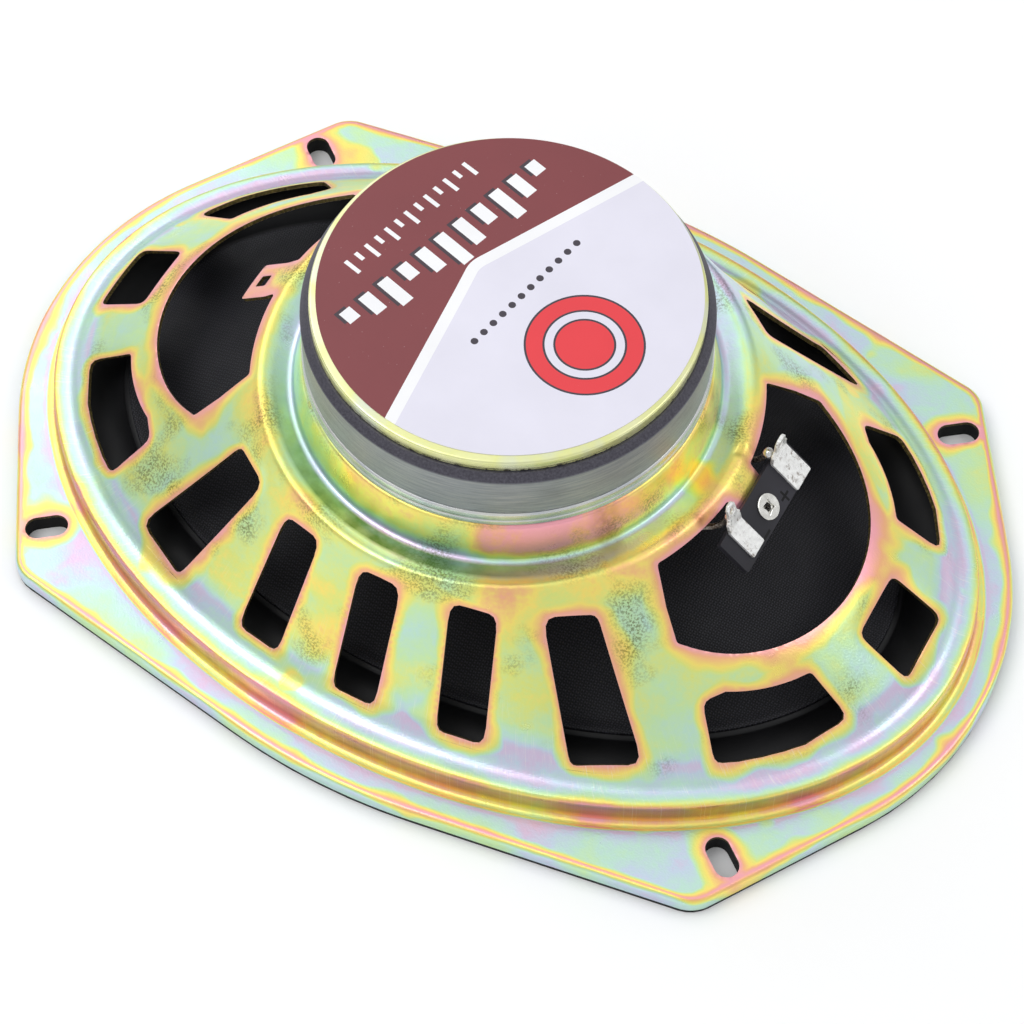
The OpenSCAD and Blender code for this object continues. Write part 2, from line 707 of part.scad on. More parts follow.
// The capacitor lies behind the yoke, beside the nut.
module tweeter_capacitor() {
    color("#2c3c5a") translate([capacitor_x, 0, yoke_front_z + yoke_depth + capacitor_radius + 0.1])
        rotate([90, 0, 0]) cylinder(r = capacitor_radius, h = capacitor_length, center = true);
}

basket();
front_gasket();
surround();
cone();
spider();
voice_coil_former();
voice_coil_winding();
dust_ring();
lead_glue_dabs();
top_plate();
ferrite_magnet();
back_plate();
magnet_label();
staking_rivets();
terminal_board();
terminal_rivet();
positive_terminal();
negative_terminal();
solder_joints();
positive_lead();
negative_lead();
tweeter_post();
post_nut();
tweeter_housing();
tweeter_yoke();
tweeter_magnet();
tweeter_pole_plate();
tweeter_voice_coil();
tweeter_dome();
tweeter_suspension();
tweeter_face_ring();
tweeter_grille();
tweeter_capacitor();
tweeter_lead_positive();
tweeter_lead_negative();
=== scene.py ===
"""Looks of the oval coaxial car speaker, face down: plated basket, motor, terminals, cone and tweeter.

Sizes are in millimetres in the part's own frame and become metres where a mesh is made.
"""

import math

import bmesh
import bpy
import numpy as np
from mathutils import Matrix, Vector, geometry, kdtree


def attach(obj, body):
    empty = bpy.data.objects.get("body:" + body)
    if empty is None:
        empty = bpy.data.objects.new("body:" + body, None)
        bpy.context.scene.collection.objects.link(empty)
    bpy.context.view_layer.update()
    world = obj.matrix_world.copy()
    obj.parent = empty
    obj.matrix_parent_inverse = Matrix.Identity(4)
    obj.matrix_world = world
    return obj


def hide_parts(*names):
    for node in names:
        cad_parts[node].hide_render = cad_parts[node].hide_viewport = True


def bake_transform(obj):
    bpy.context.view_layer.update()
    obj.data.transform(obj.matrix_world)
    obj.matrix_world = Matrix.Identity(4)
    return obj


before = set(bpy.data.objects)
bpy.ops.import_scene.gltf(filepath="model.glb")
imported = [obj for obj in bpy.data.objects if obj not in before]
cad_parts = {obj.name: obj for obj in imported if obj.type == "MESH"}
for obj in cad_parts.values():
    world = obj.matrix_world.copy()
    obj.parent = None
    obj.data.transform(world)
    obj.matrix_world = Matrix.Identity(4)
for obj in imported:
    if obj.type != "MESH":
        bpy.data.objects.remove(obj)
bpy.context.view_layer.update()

MM = 0.001
STILL = "frame"
CONE = "cone_assembly"
DOME = "tweeter_diaphragm"

# Camera: direction, roll and aim.
CAMERA_AZIMUTH = 28.16
CAMERA_ELEVATION = 58.42
CAMERA_ROLL = 0.49
CAMERA_TARGET = (9.43, -15.22, 20.12)
CAMERA_DISTANCE = 650.8
CAMERA_LENS = 105.15

# Flange.
FLANGE_HALF_LENGTH = 117.5
FLANGE_HALF_WIDTH = 84.2
END_RADIUS = 70.2
EAR_SIDE_ANGLE = math.radians(32.5)
LONG_SIDE_ANGLE = math.radians(81.2)
CREST_RADIUS = 143.5
EAR_RADIUS = 8.0
FLANGE_Z = 5.0
RIM_Z = 1.2
RIM_BEND = 1.1
SLOT_X = 84.0
SLOT_Y = 60.2
SLOT_LENGTH = 9.6
SLOT_WIDTH = 5.4
SLOT_ANGLE = math.radians(38)
# Points from one axis to the next on every ring of the basket's sheet.
STATIONS = 121

# Basket.
SHEET = 0.9
OVAL_HALF_LENGTH = 109.9
OVAL_HALF_WIDTH = 76.1
LEDGE_Z = 11.9
LEDGE_WIDTH = 3.7
SHOULDER_INSET = 8.3
SHOULDER_Z = 15.8
HUB_RADIUS = 53.0
HUB_Z = 47.7
HUB_LEDGE_Z = 46.4
NECK_FOOT_RADIUS = 45.8
NECK_TOP_RADIUS = 43.6
NECK_TOP_Z = 56.0
NECK_HOLE_RADIUS = 24.0
WINDOW_CORNER = 2.0
LARGE_X = 48.0
LARGE_RADIUS = 35.8
CORNER_ARC = 42.0
HUB_CUT = 55.2

# The tab that carries the terminal board, and its twin on the other side.
TAB_HOLE_X = 61.2
TAB_HOLE_Z = 40.6
TAB_SLOPE = math.radians(39)
TAB_HALF = 5.2
TAB_TIP_X = 64.2
TAB_HOLE = 3.2
TAB_ROOT_X = 54.6
TAB_BEND = 3.4
TAB_REACH = 66.0

# Motor.
MAGNET_Z = 60.2
MAGNET_RADIUS = 43.0
MAGNET_CHAMFER = 1.6
MAGNET_CHAMFER_Z = 71.5
BACK_PLATE_Z = 73.1
BACK_PLATE_TOP = 76.1
BACK_PLATE_RADIUS = 41.0
TOP_PLATE_RADIUS = 43.3
LABEL_RADIUS = 39.9
LABEL_SHIFT = 0.8
LABEL_TOP = 76.25

# Cone assembly.
CONE_INSET = 17.0
CONE_LIP = 2.2
CONE_NECK_RADIUS = 15.5
CONE_NECK_Z = 40.0
CONE_RIM_Z = 11.1
CONE_FLARE = 0.85
CONE_THICKNESS = 0.8
SURROUND_THICKNESS = 0.7
SURROUND_ROLL = 5.6
SPIDER_Z = 45.5

# Terminals.
BOARD_THICKNESS = 1.3
STRIP = 0.8


def toward(azimuth, elevation):
    """The direction that lies at an azimuth and an elevation, in degrees."""
    a, e = math.radians(azimuth), math.radians(elevation)
    return Vector((math.sin(a) * math.cos(e), -math.cos(a) * math.cos(e), math.sin(e)))


def make_camera():
    azimuth, roll = math.radians(CAMERA_AZIMUTH), math.radians(CAMERA_ROLL)
    back = toward(CAMERA_AZIMUTH, CAMERA_ELEVATION)
    right = Vector((math.cos(azimuth), math.sin(azimuth), 0))
    up = back.cross(right)
    turned_right = right * math.cos(roll) + up * math.sin(roll)
    turned_up = up * math.cos(roll) - right * math.sin(roll)
    data = bpy.data.cameras.new("camera")
    data.lens = CAMERA_LENS
    data.clip_start = 0.05
    camera = bpy.data.objects.new("camera", data)
    bpy.context.scene.collection.objects.link(camera)
    turn = Matrix((turned_right, turned_up, back)).transposed().to_4x4()
    camera.matrix_world = Matrix.Translation((Vector(CAMERA_TARGET) + back * CAMERA_DISTANCE) * MM) @ turn
    bpy.context.scene.camera = camera


# ---------------------------------------------------------------- materials


def linear(red, green, blue):
    """A colour given as 0 to 255 screen values, in the linear values that shaders use."""
    return tuple(c / 12.92 if c <= 0.04045 else ((c + 0.055) / 1.055) ** 2.4
                 for c in (red / 255, green / 255, blue / 255)) + (1.0,)


def feed(tree, socket, value):
    if isinstance(value, bpy.types.NodeSocket):
        tree.links.new(value, socket)
    else:
        socket.default_value = value


def add_node(tree, kind, values, **settings):
    """Adds a node. values maps input names or numbers to a number, a colour or another output."""
    made = tree.nodes.new(kind)
    for key, value in settings.items():
        setattr(made, key, value)
    for key, value in values.items():
        feed(tree, made.inputs[key], value)
    return made


class Shader:
    """A material being built. Each method adds a node and returns its output."""

    def __init__(self, name):
        self.material = bpy.data.materials.new(name)
        self.material.use_nodes = True
        self.tree = self.material.node_tree
        self.surface = self.tree.nodes["Principled BSDF"]
        self.place = self.tree.nodes.new("ShaderNodeTexCoord").outputs["Object"]

    def node(self, kind, values, **settings):
        return add_node(self.tree, kind, values, **settings)

    def math(self, operation, *values):
        return self.node("ShaderNodeMath", dict(enumerate(values)), operation=operation).outputs[0]

    def chain(self, operation, first, *others):
        for value in others:
            first = self.math(operation, first, value)
        return first

    def total(self, *values):
        return self.chain("ADD", *values)

    def product(self, *values):
        return self.chain("MULTIPLY", *values)

    def length(self, x, y):
        return self.math("SQRT", self.total(self.product(x, x), self.product(y, y)))

    def stretch(self, value, low, high, to_low=0.0, to_high=1.0):
        """Maps low..high to to_low..to_high, without going past them."""
        values = {0: value, 1: low, 2: high, 3: to_low, 4: to_high}
        return self.node("ShaderNodeMapRange", values).outputs[0]

    def spread(self, noise, low, high):
        """Spreads the values that a noise mostly has over low..high."""
        return self.stretch(noise, 0.3, 0.7, low, high)

    def varied(self, low, high, size, detail=2.0, roughness=0.5):
        """A value that wanders between low and high, over about size millimetres."""
        return self.spread(self.noise(size, detail, roughness), low, high)

    def scaled(self, x, y, z):
        """The place in millimetres, times x, y and z."""
        values = {0: self.place, 1: (x / MM, y / MM, z / MM)}
        return self.node("ShaderNodeVectorMath", values, operation="MULTIPLY").outputs[0]

    def noise(self, size, detail=2.0, roughness=0.5, distortion=0.0, vector=None):
        """Noise whose features are about size millimetres, from 0 to 1."""
        scale = 1 / (size * MM) if vector is None else 1 / size
        values = {"Vector": vector or self.place, "Scale": scale, "Detail": detail,
                  "Roughness": roughness, "Distortion": distortion}
        return self.node("ShaderNodeTexNoise", values).outputs[0]

    def specks(self, size):
        """Distance to the nearest of scattered points about size millimetres apart."""
        values = {"Vector": self.place, "Scale": 1 / (size * MM)}
        return self.node("ShaderNodeTexVoronoi", values).outputs["Distance"]

    def axis(self, name):
        """One coordinate of the place, in millimetres."""
        split = self.node("ShaderNodeSeparateXYZ", {0: self.place})
        return self.math("DIVIDE", split.outputs[name], MM)

    def attribute(self, name):
        return self.node("ShaderNodeAttribute", {}, attribute_name=name).outputs["Fac"]

    def ramp(self, factor, stops):
        made = self.node("ShaderNodeValToRGB", {0: factor})
        elements = made.color_ramp.elements
        while len(elements) < len(stops):
            elements.new(0.5)
        for element, (position, colour) in zip(elements, stops):
            element.position = position
            element.color = colour
        return made.outputs[0]

    def tint(self, factor, *stops):
        """A ramp through colours given as (position, red, green, blue) in screen values."""
        return self.ramp(factor, [(position, linear(*colour)) for position, *colour in stops])

    def mix(self, factor, a, b, kind="MIX"):
        made = self.tree.nodes.new("ShaderNodeMix")
        made.data_type = "RGBA"
        made.blend_type = kind
        for socket, value in ((0, factor), (6, a), (7, b)):
            feed(self.tree, made.inputs[socket], value)
        return made.outputs[2]

    def bump(self, height, strength, depth, normal=None):
        """depth is the height's full range, in millimetres."""
        values = {"Height": height, "Strength": strength, "Distance": depth * MM}
        if normal is not None:
            values["Normal"] = normal
        return self.node("ShaderNodeBump", values).outputs[0]

    def finish(self, **sockets):
        """Sets the surface's inputs, named in lower case, and returns the material."""
        for name, value in sockets.items():
            title = name.replace("_", " ").title().replace("Ior", "IOR")
            feed(self.tree, self.surface.inputs[title], value)
        return self.material


# Interference colours of the zinc's film, from the thinnest to the thickest.
FILM = [(0.00, 246, 172, 182), (0.10, 248, 186, 140), (0.24, 252, 230, 122), (0.36, 226, 234, 136),
        (0.50, 202, 235, 178), (0.64, 194, 230, 212), (0.78, 200, 216, 232), (0.88, 216, 200, 226),
        (0.96, 236, 182, 206), (1.00, 238, 180, 160)]
# Thickness of the film by distance outwards from the raised oval, in millimetres.
OVAL_BANDS = [(-14, 0.46), (-11.5, 0.40), (-9.6, 0.56), (-8.2, 0.88), (-7.0, 0.76), (-5.4, 0.70),
              (-3.6, 0.78), (-2.2, 0.62), (-1.2, 0.38), (-0.6, 0.24), (-0.1, 0.04), (0.5, 0.10), (1.0, 0.20),
              (1.5, 0.30), (2.0, 0.12), (2.6, 0.96), (3.4, 0.76), (6.0, 0.68), (10, 0.62), (14, 0.58)]
# Thickness of the film by distance from the motor's axis.
HUB_BANDS = [(43.4, 0.34), (45.2, 0.36), (45.8, 0.70), (46.4, 0.80), (47.4, 0.66), (49.6, 0.58),
             (50.9, 0.48), (51.8, 0.34), (53.2, 0.24), (55.5, 0.26), (60, 0.44), (64, 0.50)]
# Thickness of the film by distance from a cut or bent edge.
EDGE_BANDS = [(0, 0.0), (0.5, 0.05), (1.0, 0.13), (1.8, 0.23), (2.6, 0.32), (3.6, 0.50), (5, 0.85)]
# The hub's bands give way to the oval's between these distances from the axis.
HUB_FADE = (58, 64)
# Where the film is thicker or thinner: plan direction and half angle in degrees, from and to which
# radius, and by how much.
FILM_SIDES = [(-80, 50, 42, 46, -0.14), (-42, 34, 42, 46.5, -0.20), (-160, 55, 42, 46, 0.22),
              (62, 42, 52, 74, 0.38), (100, 50, 52, 74, 0.30), (150, 40, 52, 100, 0.10),
              (0, 70, 47, 51, 0.16), (10, 60, 51.5, 56, 0.06)]
# The hub's ledge painted darker green on the side towards the camera, as a painted dark reflection, in the
# same terms.
PAINTED_DARK_GREEN_SIDE = (-98, 62, 47.2, 50.8)
# Brown stains on the hub's edge: plan place, radius and strength.
STAINS = [(52.2, -12.6, 1.9, 0.75), (52.4, 6.6, 2.0, 0.35), (37, -25.6, 4.5, 0.5), (42.5, 12, 4.0, 0.45)]


def banded(shader, distance, bands):
    """Film thickness for a distance, read off a list of (distance, thickness)."""
    low, high = bands[0][0], bands[-1][0]
    stops = [((d - low) / (high - low), (t, t, t, 1)) for d, t in bands]
    return shader.ramp(shader.stretch(distance, low, high), stops)


def toward_side(s, place, degrees, width, low, high):
    """1 in the plan direction and between the radii, falling to 0 width degrees aside."""
    x, y, radius = place
    turn = math.radians(degrees)
    along = s.total(s.product(x, math.cos(turn)), s.product(y, math.sin(turn)))
    towards = s.stretch(s.math("DIVIDE", along, radius), math.cos(math.radians(width)), 1.0)
    return s.product(towards, s.stretch(radius, low - 1, low), s.stretch(radius, high, high - 1))


def film_thickness(s, place, out):
    """Thickness of the zinc's film: bands and sides, a slow wander, and a halo round each edge."""
    radius = place[2]
    base = s.total(s.product(banded(s, radius, HUB_BANDS), s.stretch(radius, *HUB_FADE[::-1])),
                   s.product(banded(s, out, OVAL_BANDS), s.stretch(radius, *HUB_FADE)))
    for *where, more in FILM_SIDES:
        base = s.total(base, s.product(toward_side(s, place, *where), more))
    wander = s.total(s.stretch(s.noise(8, 3.0, 0.55, 0.6), 0.28, 0.72, -0.08, 0.08),
                     s.varied(-0.025, 0.025, 1.1, 2.0, 0.6),
                     s.stretch(s.noise(30, 2.0, 0.45, 0.8), 0.28, 0.72, -0.22, 0.22))
    spread = s.stretch(s.noise(17), 0.32, 0.68, 2.3, 0.38)
    halo = banded(s, s.product(s.attribute("gap"), spread), EDGE_BANDS)
    halo = s.total(halo, s.product(wander, 0.25))
    return s.node("ShaderNodeMath", {0: s.total(base, wander), 1: halo, 2: 0.12},
                  operation="SMOOTH_MIN").outputs[0]


def yellow_zinc():
    """Iridescent yellow zinc on the stamped basket. The mesh gives the distance to its edges."""
    s = Shader("yellow_zinc_steel")
    x, y, z = s.axis("X"), s.axis("Y"), s.axis("Z")
    radius = s.length(x, y)
    q = s.length(s.math("DIVIDE", x, OVAL_HALF_LENGTH), s.math("DIVIDE", y, OVAL_HALF_WIDTH))
    out = s.math("SUBTRACT", radius, s.math("DIVIDE", radius, q))
    place = (x, y, radius)
    colour = s.tint(film_thickness(s, place, out), *FILM)
    # Dark speckle in patches on the slopes, away from the edges: a painted dark reflection.
    dark_reflection_patch = s.product(s.stretch(s.noise(15), 0.54, 0.70), s.stretch(out, -6, -9),
                      s.stretch(s.attribute("gap"), 0.4, 2.2))
    speck = s.stretch(s.noise(0.5, 2.5, 0.62), 0.46, 0.58, 0.12, 0.9)
    colour = s.mix(s.product(dark_reflection_patch, speck, 0.75), colour, linear(84, 80, 24))
    for stain_x, stain_y, reach, strength in STAINS:
        aside = s.node("ShaderNodeVectorMath", {0: s.scaled(1, 1, 0), 1: (stain_x, stain_y, 0)},
                       operation="DISTANCE").outputs["Value"]
        cloud = s.stretch(s.noise(2, 3.0), 0.3, 0.6, 0.4, 1.0)
        stain = s.product(s.stretch(aside, reach, 0), cloud, strength)
        colour = s.mix(stain, colour, linear(128, 66, 12))
    # Painted dark reflection: the hub's ledge darker green on the side towards the camera.
    green = s.product(toward_side(s, place, *PAINTED_DARK_GREEN_SIDE), s.varied(0.7, 1.0, 4, 3.0))
    colour = s.mix(green, colour, linear(82, 114, 66))
    # The upright wall of the raised oval is painted duller and browner: painted shade on the wall.
    upright_wall_shade = s.product(s.stretch(z, FLANGE_Z + 1, FLANGE_Z + 2.4),
                        s.stretch(z, LEDGE_Z - 0.2, LEDGE_Z - 1.5), s.varied(0.35, 0.8, 24))
    colour = s.mix(upright_wall_shade, colour, linear(128, 92, 88))
    # Fine lines drawn outwards across the step, where the sheet slid into the die.
    angle = s.math("ARCTAN2", y, x)
    polar = s.node("ShaderNodeCombineXYZ", {0: s.product(angle, 90), 1: s.product(out, 0.06)})
    drawn = s.noise(0.35, 3.0, 0.7, vector=polar.outputs[0])
    near_step = s.product(s.stretch(out, -16, -9), s.stretch(out, 1.5, 0.2))
    scratched = s.product(near_step, s.stretch(drawn, 0.56, 0.68, 0, 0.35))
    colour = s.mix(scratched, colour, linear(250, 248, 236))
    normal = s.bump(s.noise(1.8, 1.0), 0.3, 0.05, s.bump(s.noise(0.5, 2.5, 0.6), 0.85, 0.05))
    normal = s.bump(s.product(drawn, near_step), 0.5, 0.05, normal)
    return s.finish(base_color=colour, metallic=0.88, roughness=s.varied(0.27, 0.4, 9, 3.0), normal=normal)


def shaded_sheared_wall():
    """The sheared thickness of the sheet, streaked from face to face, painted dull and dark as the shade of
    the basket's dark inside, which it faces.
    """
    s = Shader("shaded_sheared_wall")
    streaks = s.noise(1, 3.0, 0.6, vector=s.scaled(1.6, 1.6, 0.2))
    colour = s.tint(streaks, (0.3, 52, 44, 26), (0.55, 96, 84, 44), (0.75, 140, 124, 66))
    return s.finish(base_color=colour, metallic=0.6, roughness=s.spread(streaks, 0.4, 0.6),
                    normal=s.bump(streaks, 0.3, 0.03))


def painted_highlight_edge():
    """The burr line along a cut edge: its bevel catches light, and its colour is painted bright yellow to
    pink as a highlight.
    """
    s = Shader("painted_highlight_edge")
    colour = s.tint(s.noise(12), (0.32, 252, 240, 190), (0.5, 254, 234, 220), (0.68, 254, 220, 226))
    return s.finish(base_color=colour, metallic=0.7, roughness=s.varied(0.3, 0.42, 1.1),
                    normal=s.bump(s.noise(0.8), 0.2, 0.02))


def pale_zinc():
    """Turned steel with pale yellow zinc, and grime low on its rim: the back plate."""
    s = Shader("pale_zinc_steel")
    rings = s.noise(1, vector=s.scaled(0.02, 0.02, 3.0))
    zinc = s.tint(s.noise(12, 3.0), (0.3, 236, 236, 196), (0.5, 228, 230, 160), (0.72, 214, 220, 210))
    low = s.stretch(s.axis("Z"), BACK_PLATE_Z + 1.5, BACK_PLATE_Z + 0.1)
    grime = s.stretch(s.product(s.stretch(s.noise(1.6, 4.0, 0.7), 0.5, 0.62), low), 0.1, 0.8)
    return s.finish(base_color=s.mix(grime, zinc, linear(56, 50, 44)), metallic=0.9,
                    roughness=s.spread(rings, 0.24, 0.42), normal=s.bump(rings, 0.3, 0.03))


def silver_plate():
    """Bright zinc or nickel plate with fine turning marks."""
    s = Shader("silver_plate")
    lines = s.noise(1, 3.0, 0.6, vector=s.scaled(0.05, 0.05, 5.0))
    colour = s.tint(s.noise(8), (0.3, 196, 200, 204), (0.7, 222, 222, 216))
    return s.finish(base_color=colour, metallic=0.95, roughness=s.spread(lines, 0.18, 0.4),
                    normal=s.bump(lines, 0.25, 0.02))


def ferrite():
    """Ground ceramic magnet: grey, faintly speckled, with grinding lines round it and a dark chamfer."""
    s = Shader("ferrite")
    lines = s.noise(1, 3.0, 0.65, vector=s.scaled(0.12, 0.12, 2.2))
    specks = s.noise(0.5, 3.0, 0.7)
    ground = s.tint(lines, (0.3, 126, 130, 132), (0.55, 146, 150, 152), (0.75, 164, 165, 164))
    dark = s.tint(specks, (0.35, 58, 56, 66), (0.7, 84, 82, 92))
    chamfer = s.stretch(s.axis("Z"), MAGNET_CHAMFER_Z - 0.3, MAGNET_CHAMFER_Z + 0.2)
    return s.finish(base_color=s.mix(chamfer, ground, dark), metallic=0.35,
                    roughness=s.spread(specks, 0.3, 0.5), normal=s.bump(specks, 0.35, 0.03))


def black_plastic(name, grey, rough_low, rough_high, grain, depth):
    """Moulded or coated black: a fine grain, with slow changes in gloss."""
    s = Shader(name)
    cloud = s.noise(14, 3.0)
    colour = s.tint(cloud, (0.3, *(0.8 * g for g in grey)), (0.7, *(1.2 * g for g in grey)))
    return s.finish(base_color=colour, roughness=s.spread(cloud, rough_low, rough_high),
                    specular_ior_level=0.3, normal=s.bump(s.noise(grain), 0.5, depth))


def woven_cone(pitch=0.86):
    """Moulded weave: threads along X and Y pass over and under each other, with painted shade in the low
    parts between them.
    """
    s = Shader("woven_cone")
    u, v = (s.math("DIVIDE", s.axis(name), pitch) for name in "XY")
    swap = s.product(*(s.math("SINE", s.product(s.total(w, 0.5), math.pi)) for w in (u, v)))
    over, under = (s.math("ABSOLUTE", s.math("SINE", s.product(w, math.pi))) for w in (u, v))
    threads = s.math("MAXIMUM", s.total(over, swap), s.math("SUBTRACT", under, swap))
    height = s.stretch(threads, 0.4, 1.8)
    # Painted shade: the colour is darker in the weave's low parts and lighter on the raised threads.
    colour = s.tint(height, (0.1, 3, 3, 5), (0.55, 24, 24, 29), (0.9, 66, 66, 74))
    return s.finish(base_color=colour, roughness=s.varied(0.42, 0.56, 7, 3.0), specular_ior_level=0.22,
                    normal=s.bump(height, 0.9, 0.16))


def spider_cloth(pitch=0.5):
    """Woven cloth dipped in resin, its threads along X and Y, with painted shade in the grooves between them.
    """
    s = Shader("spider_cloth")
    u, v = (s.math("SINE", s.product(s.axis(name), math.pi / pitch)) for name in "XY")
    weave = s.product(s.math("ABSOLUTE", u), s.math("ABSOLUTE", v))
    stain = s.varied(0.75, 1.0, 5, 3.0)
    stain = s.node("ShaderNodeCombineColor", {0: stain, 1: stain, 2: stain}).outputs[0]
    # Painted shade: the cloth is darker in the grooves between threads and lighter on them.
    colour = s.mix(1.0, s.mix(weave, linear(120, 92, 36), linear(214, 178, 92)), stain, "MULTIPLY")
    return s.finish(base_color=colour, roughness=s.stretch(weave, 0, 1, 0.8, 0.6),
                    normal=s.bump(weave, 0.8, 0.12))


def tinned_strip():
    """Tin plate with flux stains and hammered marks."""
    s = Shader("tinned_strip")
    flux = s.product(s.stretch(s.noise(1.3, 4.0, 0.7, 0.8), 0.52, 0.66),
                     s.stretch(s.noise(4.5), 0.45, 0.6), 0.8)
    tin = s.tint(s.noise(0.8, 3.0), (0.35, 234, 234, 232), (0.7, 252, 252, 250))
    return s.finish(base_color=s.mix(flux, tin, linear(96, 70, 46)), metallic=0.6,
                    roughness=s.varied(0.24, 0.46, 1.0, 3.0), normal=s.bump(s.noise(0.9, 3.0), 0.5, 0.05))


def bright_metal(name, dark, light, size, rough_low, rough_high, depth):
    """Plain metal whose colour and gloss wander a little."""
    s = Shader(name)
    cloud = s.noise(size, 3.0, 0.6)
    return s.finish(base_color=s.tint(cloud, (0.3, *dark), (0.7, *light)), metallic=0.95,
                    roughness=s.spread(cloud, rough_low, rough_high), normal=s.bump(cloud, 0.4, depth))


def film_plastic(name, dark, light, rough_low, rough_high):
    """Thin glossy film, amber or coloured."""
    s = Shader(name)
    cloud = s.noise(3, 3.0)
    return s.finish(base_color=s.tint(cloud, (0.3, *dark), (0.7, *light)),
                    roughness=s.spread(cloud, rough_low, rough_high), normal=s.bump(s.noise(0.6), 0.2, 0.02))


def printed(name, colour, speckle):
    """Printed film label: one ink, faint dust and a satin laminate."""
    s = Shader(name)
    dust = s.product(s.stretch(s.specks(1.7), 0.05, 0.02), speckle)
    ink = s.tint(s.noise(16, 3.0), (0.3, *(0.975 * c for c in colour)), (0.7, *colour))
    return s.finish(base_color=s.mix(dust, ink, linear(232, 224, 226)), roughness=s.varied(0.3, 0.42, 5, 3.0),
                    normal=s.bump(s.noise(0.5, 3.0), 0.25, 0.02))


def pale_floor():
    s = Shader("pale_floor")
    return s.finish(base_color=s.tint(s.noise(180, 3.0), (0.3, 247, 247, 248), (0.7, 250, 250, 250)),
                    roughness=0.65)


# ---------------------------------------------------------------- mesh tools


def mesh_object(name, points, faces, material, body=STILL, replaces=(), slot=None):
    """Makes a smooth-shaded piece from points in millimetres, and lets it ride on a body. slot is not used."""
    mesh = bpy.data.meshes.new(name)
    places = [tuple(c * MM for c in p) for p in points]
    mesh.from_pydata(places, [], [tuple(int(i) for i in f) for f in faces])
    mesh.validate()
    mesh.update()
    mesh.shade_smooth()
    materials = material if isinstance(material, list) else [material]
    for one in materials:
        mesh.materials.append(one)
    piece = bpy.data.objects.new(name, mesh)
    bpy.context.scene.collection.objects.link(piece)
    if body:
        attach(piece, body)
    if replaces:
        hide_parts(*replaces)
    return piece


def modify(piece, kind, **settings):
    modifier = piece.modifiers.new(kind.lower(), kind)
    for key, value in settings.items():
        setattr(modifier, key, value)


def eased(share):
    """A share from 0 to 1 that starts and stops gently."""
    return share * share * (3 - 2 * share)


def flexes(piece, reach, still_at, moving_at):
    """Bakes a piece's place into its mesh and works out each point's share of a moving body's motion, which
    is not applied, so the piece does not bend. reach maps plan points (n, 2) to one number each; the share is
    0 at still_at, 1 at moving_at, and eased between."""
    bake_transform(piece)
    plan = np.array([v.co[:2] for v in piece.data.vertices]) / MM
    share = eased(np.clip((reach(plan) - still_at) / (moving_at - still_at), 0, 1))


def from_axis(plan):
    return np.hypot(plan[:, 0], plan[:, 1])


def rounded_edges(piece, width, segments=2, angle=32):
    """Rounds a piece's sharp edges, by width millimetres, and keeps its flat faces flat."""
    modify(piece, "BEVEL", width=width * MM, segments=segments, limit_method="ANGLE",
           angle_limit=math.radians(angle), harden_normals=False)
    modify(piece, "WEIGHTED_NORMAL", keep_sharp=True, weight=60)


def grid_faces(rows, columns, closed_rows=False, closed_columns=True):
    """Quads between rows of points, which are numbered row by row."""
    faces = []
    for i in range(rows if closed_rows else rows - 1):
        for j in range(columns if closed_columns else columns - 1):
            a, b = i * columns + j, i * columns + (j + 1) % columns
            c, d = (i + 1) % rows * columns + (j + 1) % columns, (i + 1) % rows * columns + j
            faces.append((a, b, c, d))
    return faces


def lathe(name, profile, material, node, body=STILL, steps=192, slot=None):
    """A solid turned about the axis from the closed line of its section, as a list of (radius, height)."""
    turn = [2 * math.pi * k / steps for k in range(steps)]
    points = [(r * math.cos(a), r * math.sin(a), z) for r, z in profile for a in turn]
    faces = grid_faces(len(profile), steps, closed_rows=True)
    return mesh_object(name, points, faces, material, body, (node,), slot)


def thickened(line, rise):
    """The closed section between an open line of (radius, height) and its copy moved up by rise."""
    return line + [(r, z + rise) for r, z in line[::-1]]


def softened(corners, radius, steps=3, closed=True):
    """A line through the corners, each rounded to about the radius, as a list of points."""
    n = len(corners)
    radii = radius if isinstance(radius, (list, tuple)) else [radius] * n
    out = []
    for i, corner in enumerate(corners):
        here = np.array(corner, float)
        if not closed and i in (0, n - 1) or radii[i] <= 0:
            out.append(tuple(here))
            continue
        before, after = np.array(corners[i - 1], float), np.array(corners[(i + 1) % n], float)
        back, on = before - here, after - here
        lengths = np.linalg.norm(back), np.linalg.norm(on)
        back, on = back / lengths[0], on / lengths[1]
        half = math.acos(max(-1.0, min(1.0, float(back @ on)))) / 2
        reach = min(radii[i] / max(math.tan(half), 0.05), 0.48 * min(lengths))
        a, b = here + back * reach, here + on * reach
        for k in range(steps + 1):
            t = k / steps
            out.append(tuple((1 - t) ** 2 * a + 2 * t * (1 - t) * here + t * t * b))
    return out


STRAND_DEPTH = 0.22


def swept_tube(name, route, radius, material, node, sides=12, strands=0, pitch=3.0):
    """A tube along a route. With strands it is a rope of that many lobes, twisted once per pitch. It
    rides on nothing yet."""
    path = np.array(route, float)
    ahead = np.gradient(path, axis=0)
    ahead /= np.linalg.norm(ahead, axis=1)[:, None]
    side = np.cross(ahead[0], (0, 1, 0))
    run, points = 0.0, []
    for i, (here, along) in enumerate(zip(path, ahead)):
        run += 0 if i == 0 else float(np.linalg.norm(here - path[i - 1]))
        side = side - along * (side @ along)
        side /= np.linalg.norm(side)
        other = np.cross(along, side)
        for k in range(sides):
            a = 2 * math.pi * k / sides
            strand = abs(math.cos(strands / 2 * (a + 2 * math.pi * run / pitch)))
            lobe = 1 - STRAND_DEPTH * (1 - strand)
            points.append(here + radius * lobe * (math.cos(a) * side + math.sin(a) * other))
    faces = grid_faces(len(path), sides)
    faces += [tuple(range(sides - 1, -1, -1)), tuple((len(path) - 1) * sides + k for k in range(sides))]
    return mesh_object(name, points, faces, material, None, (node,))


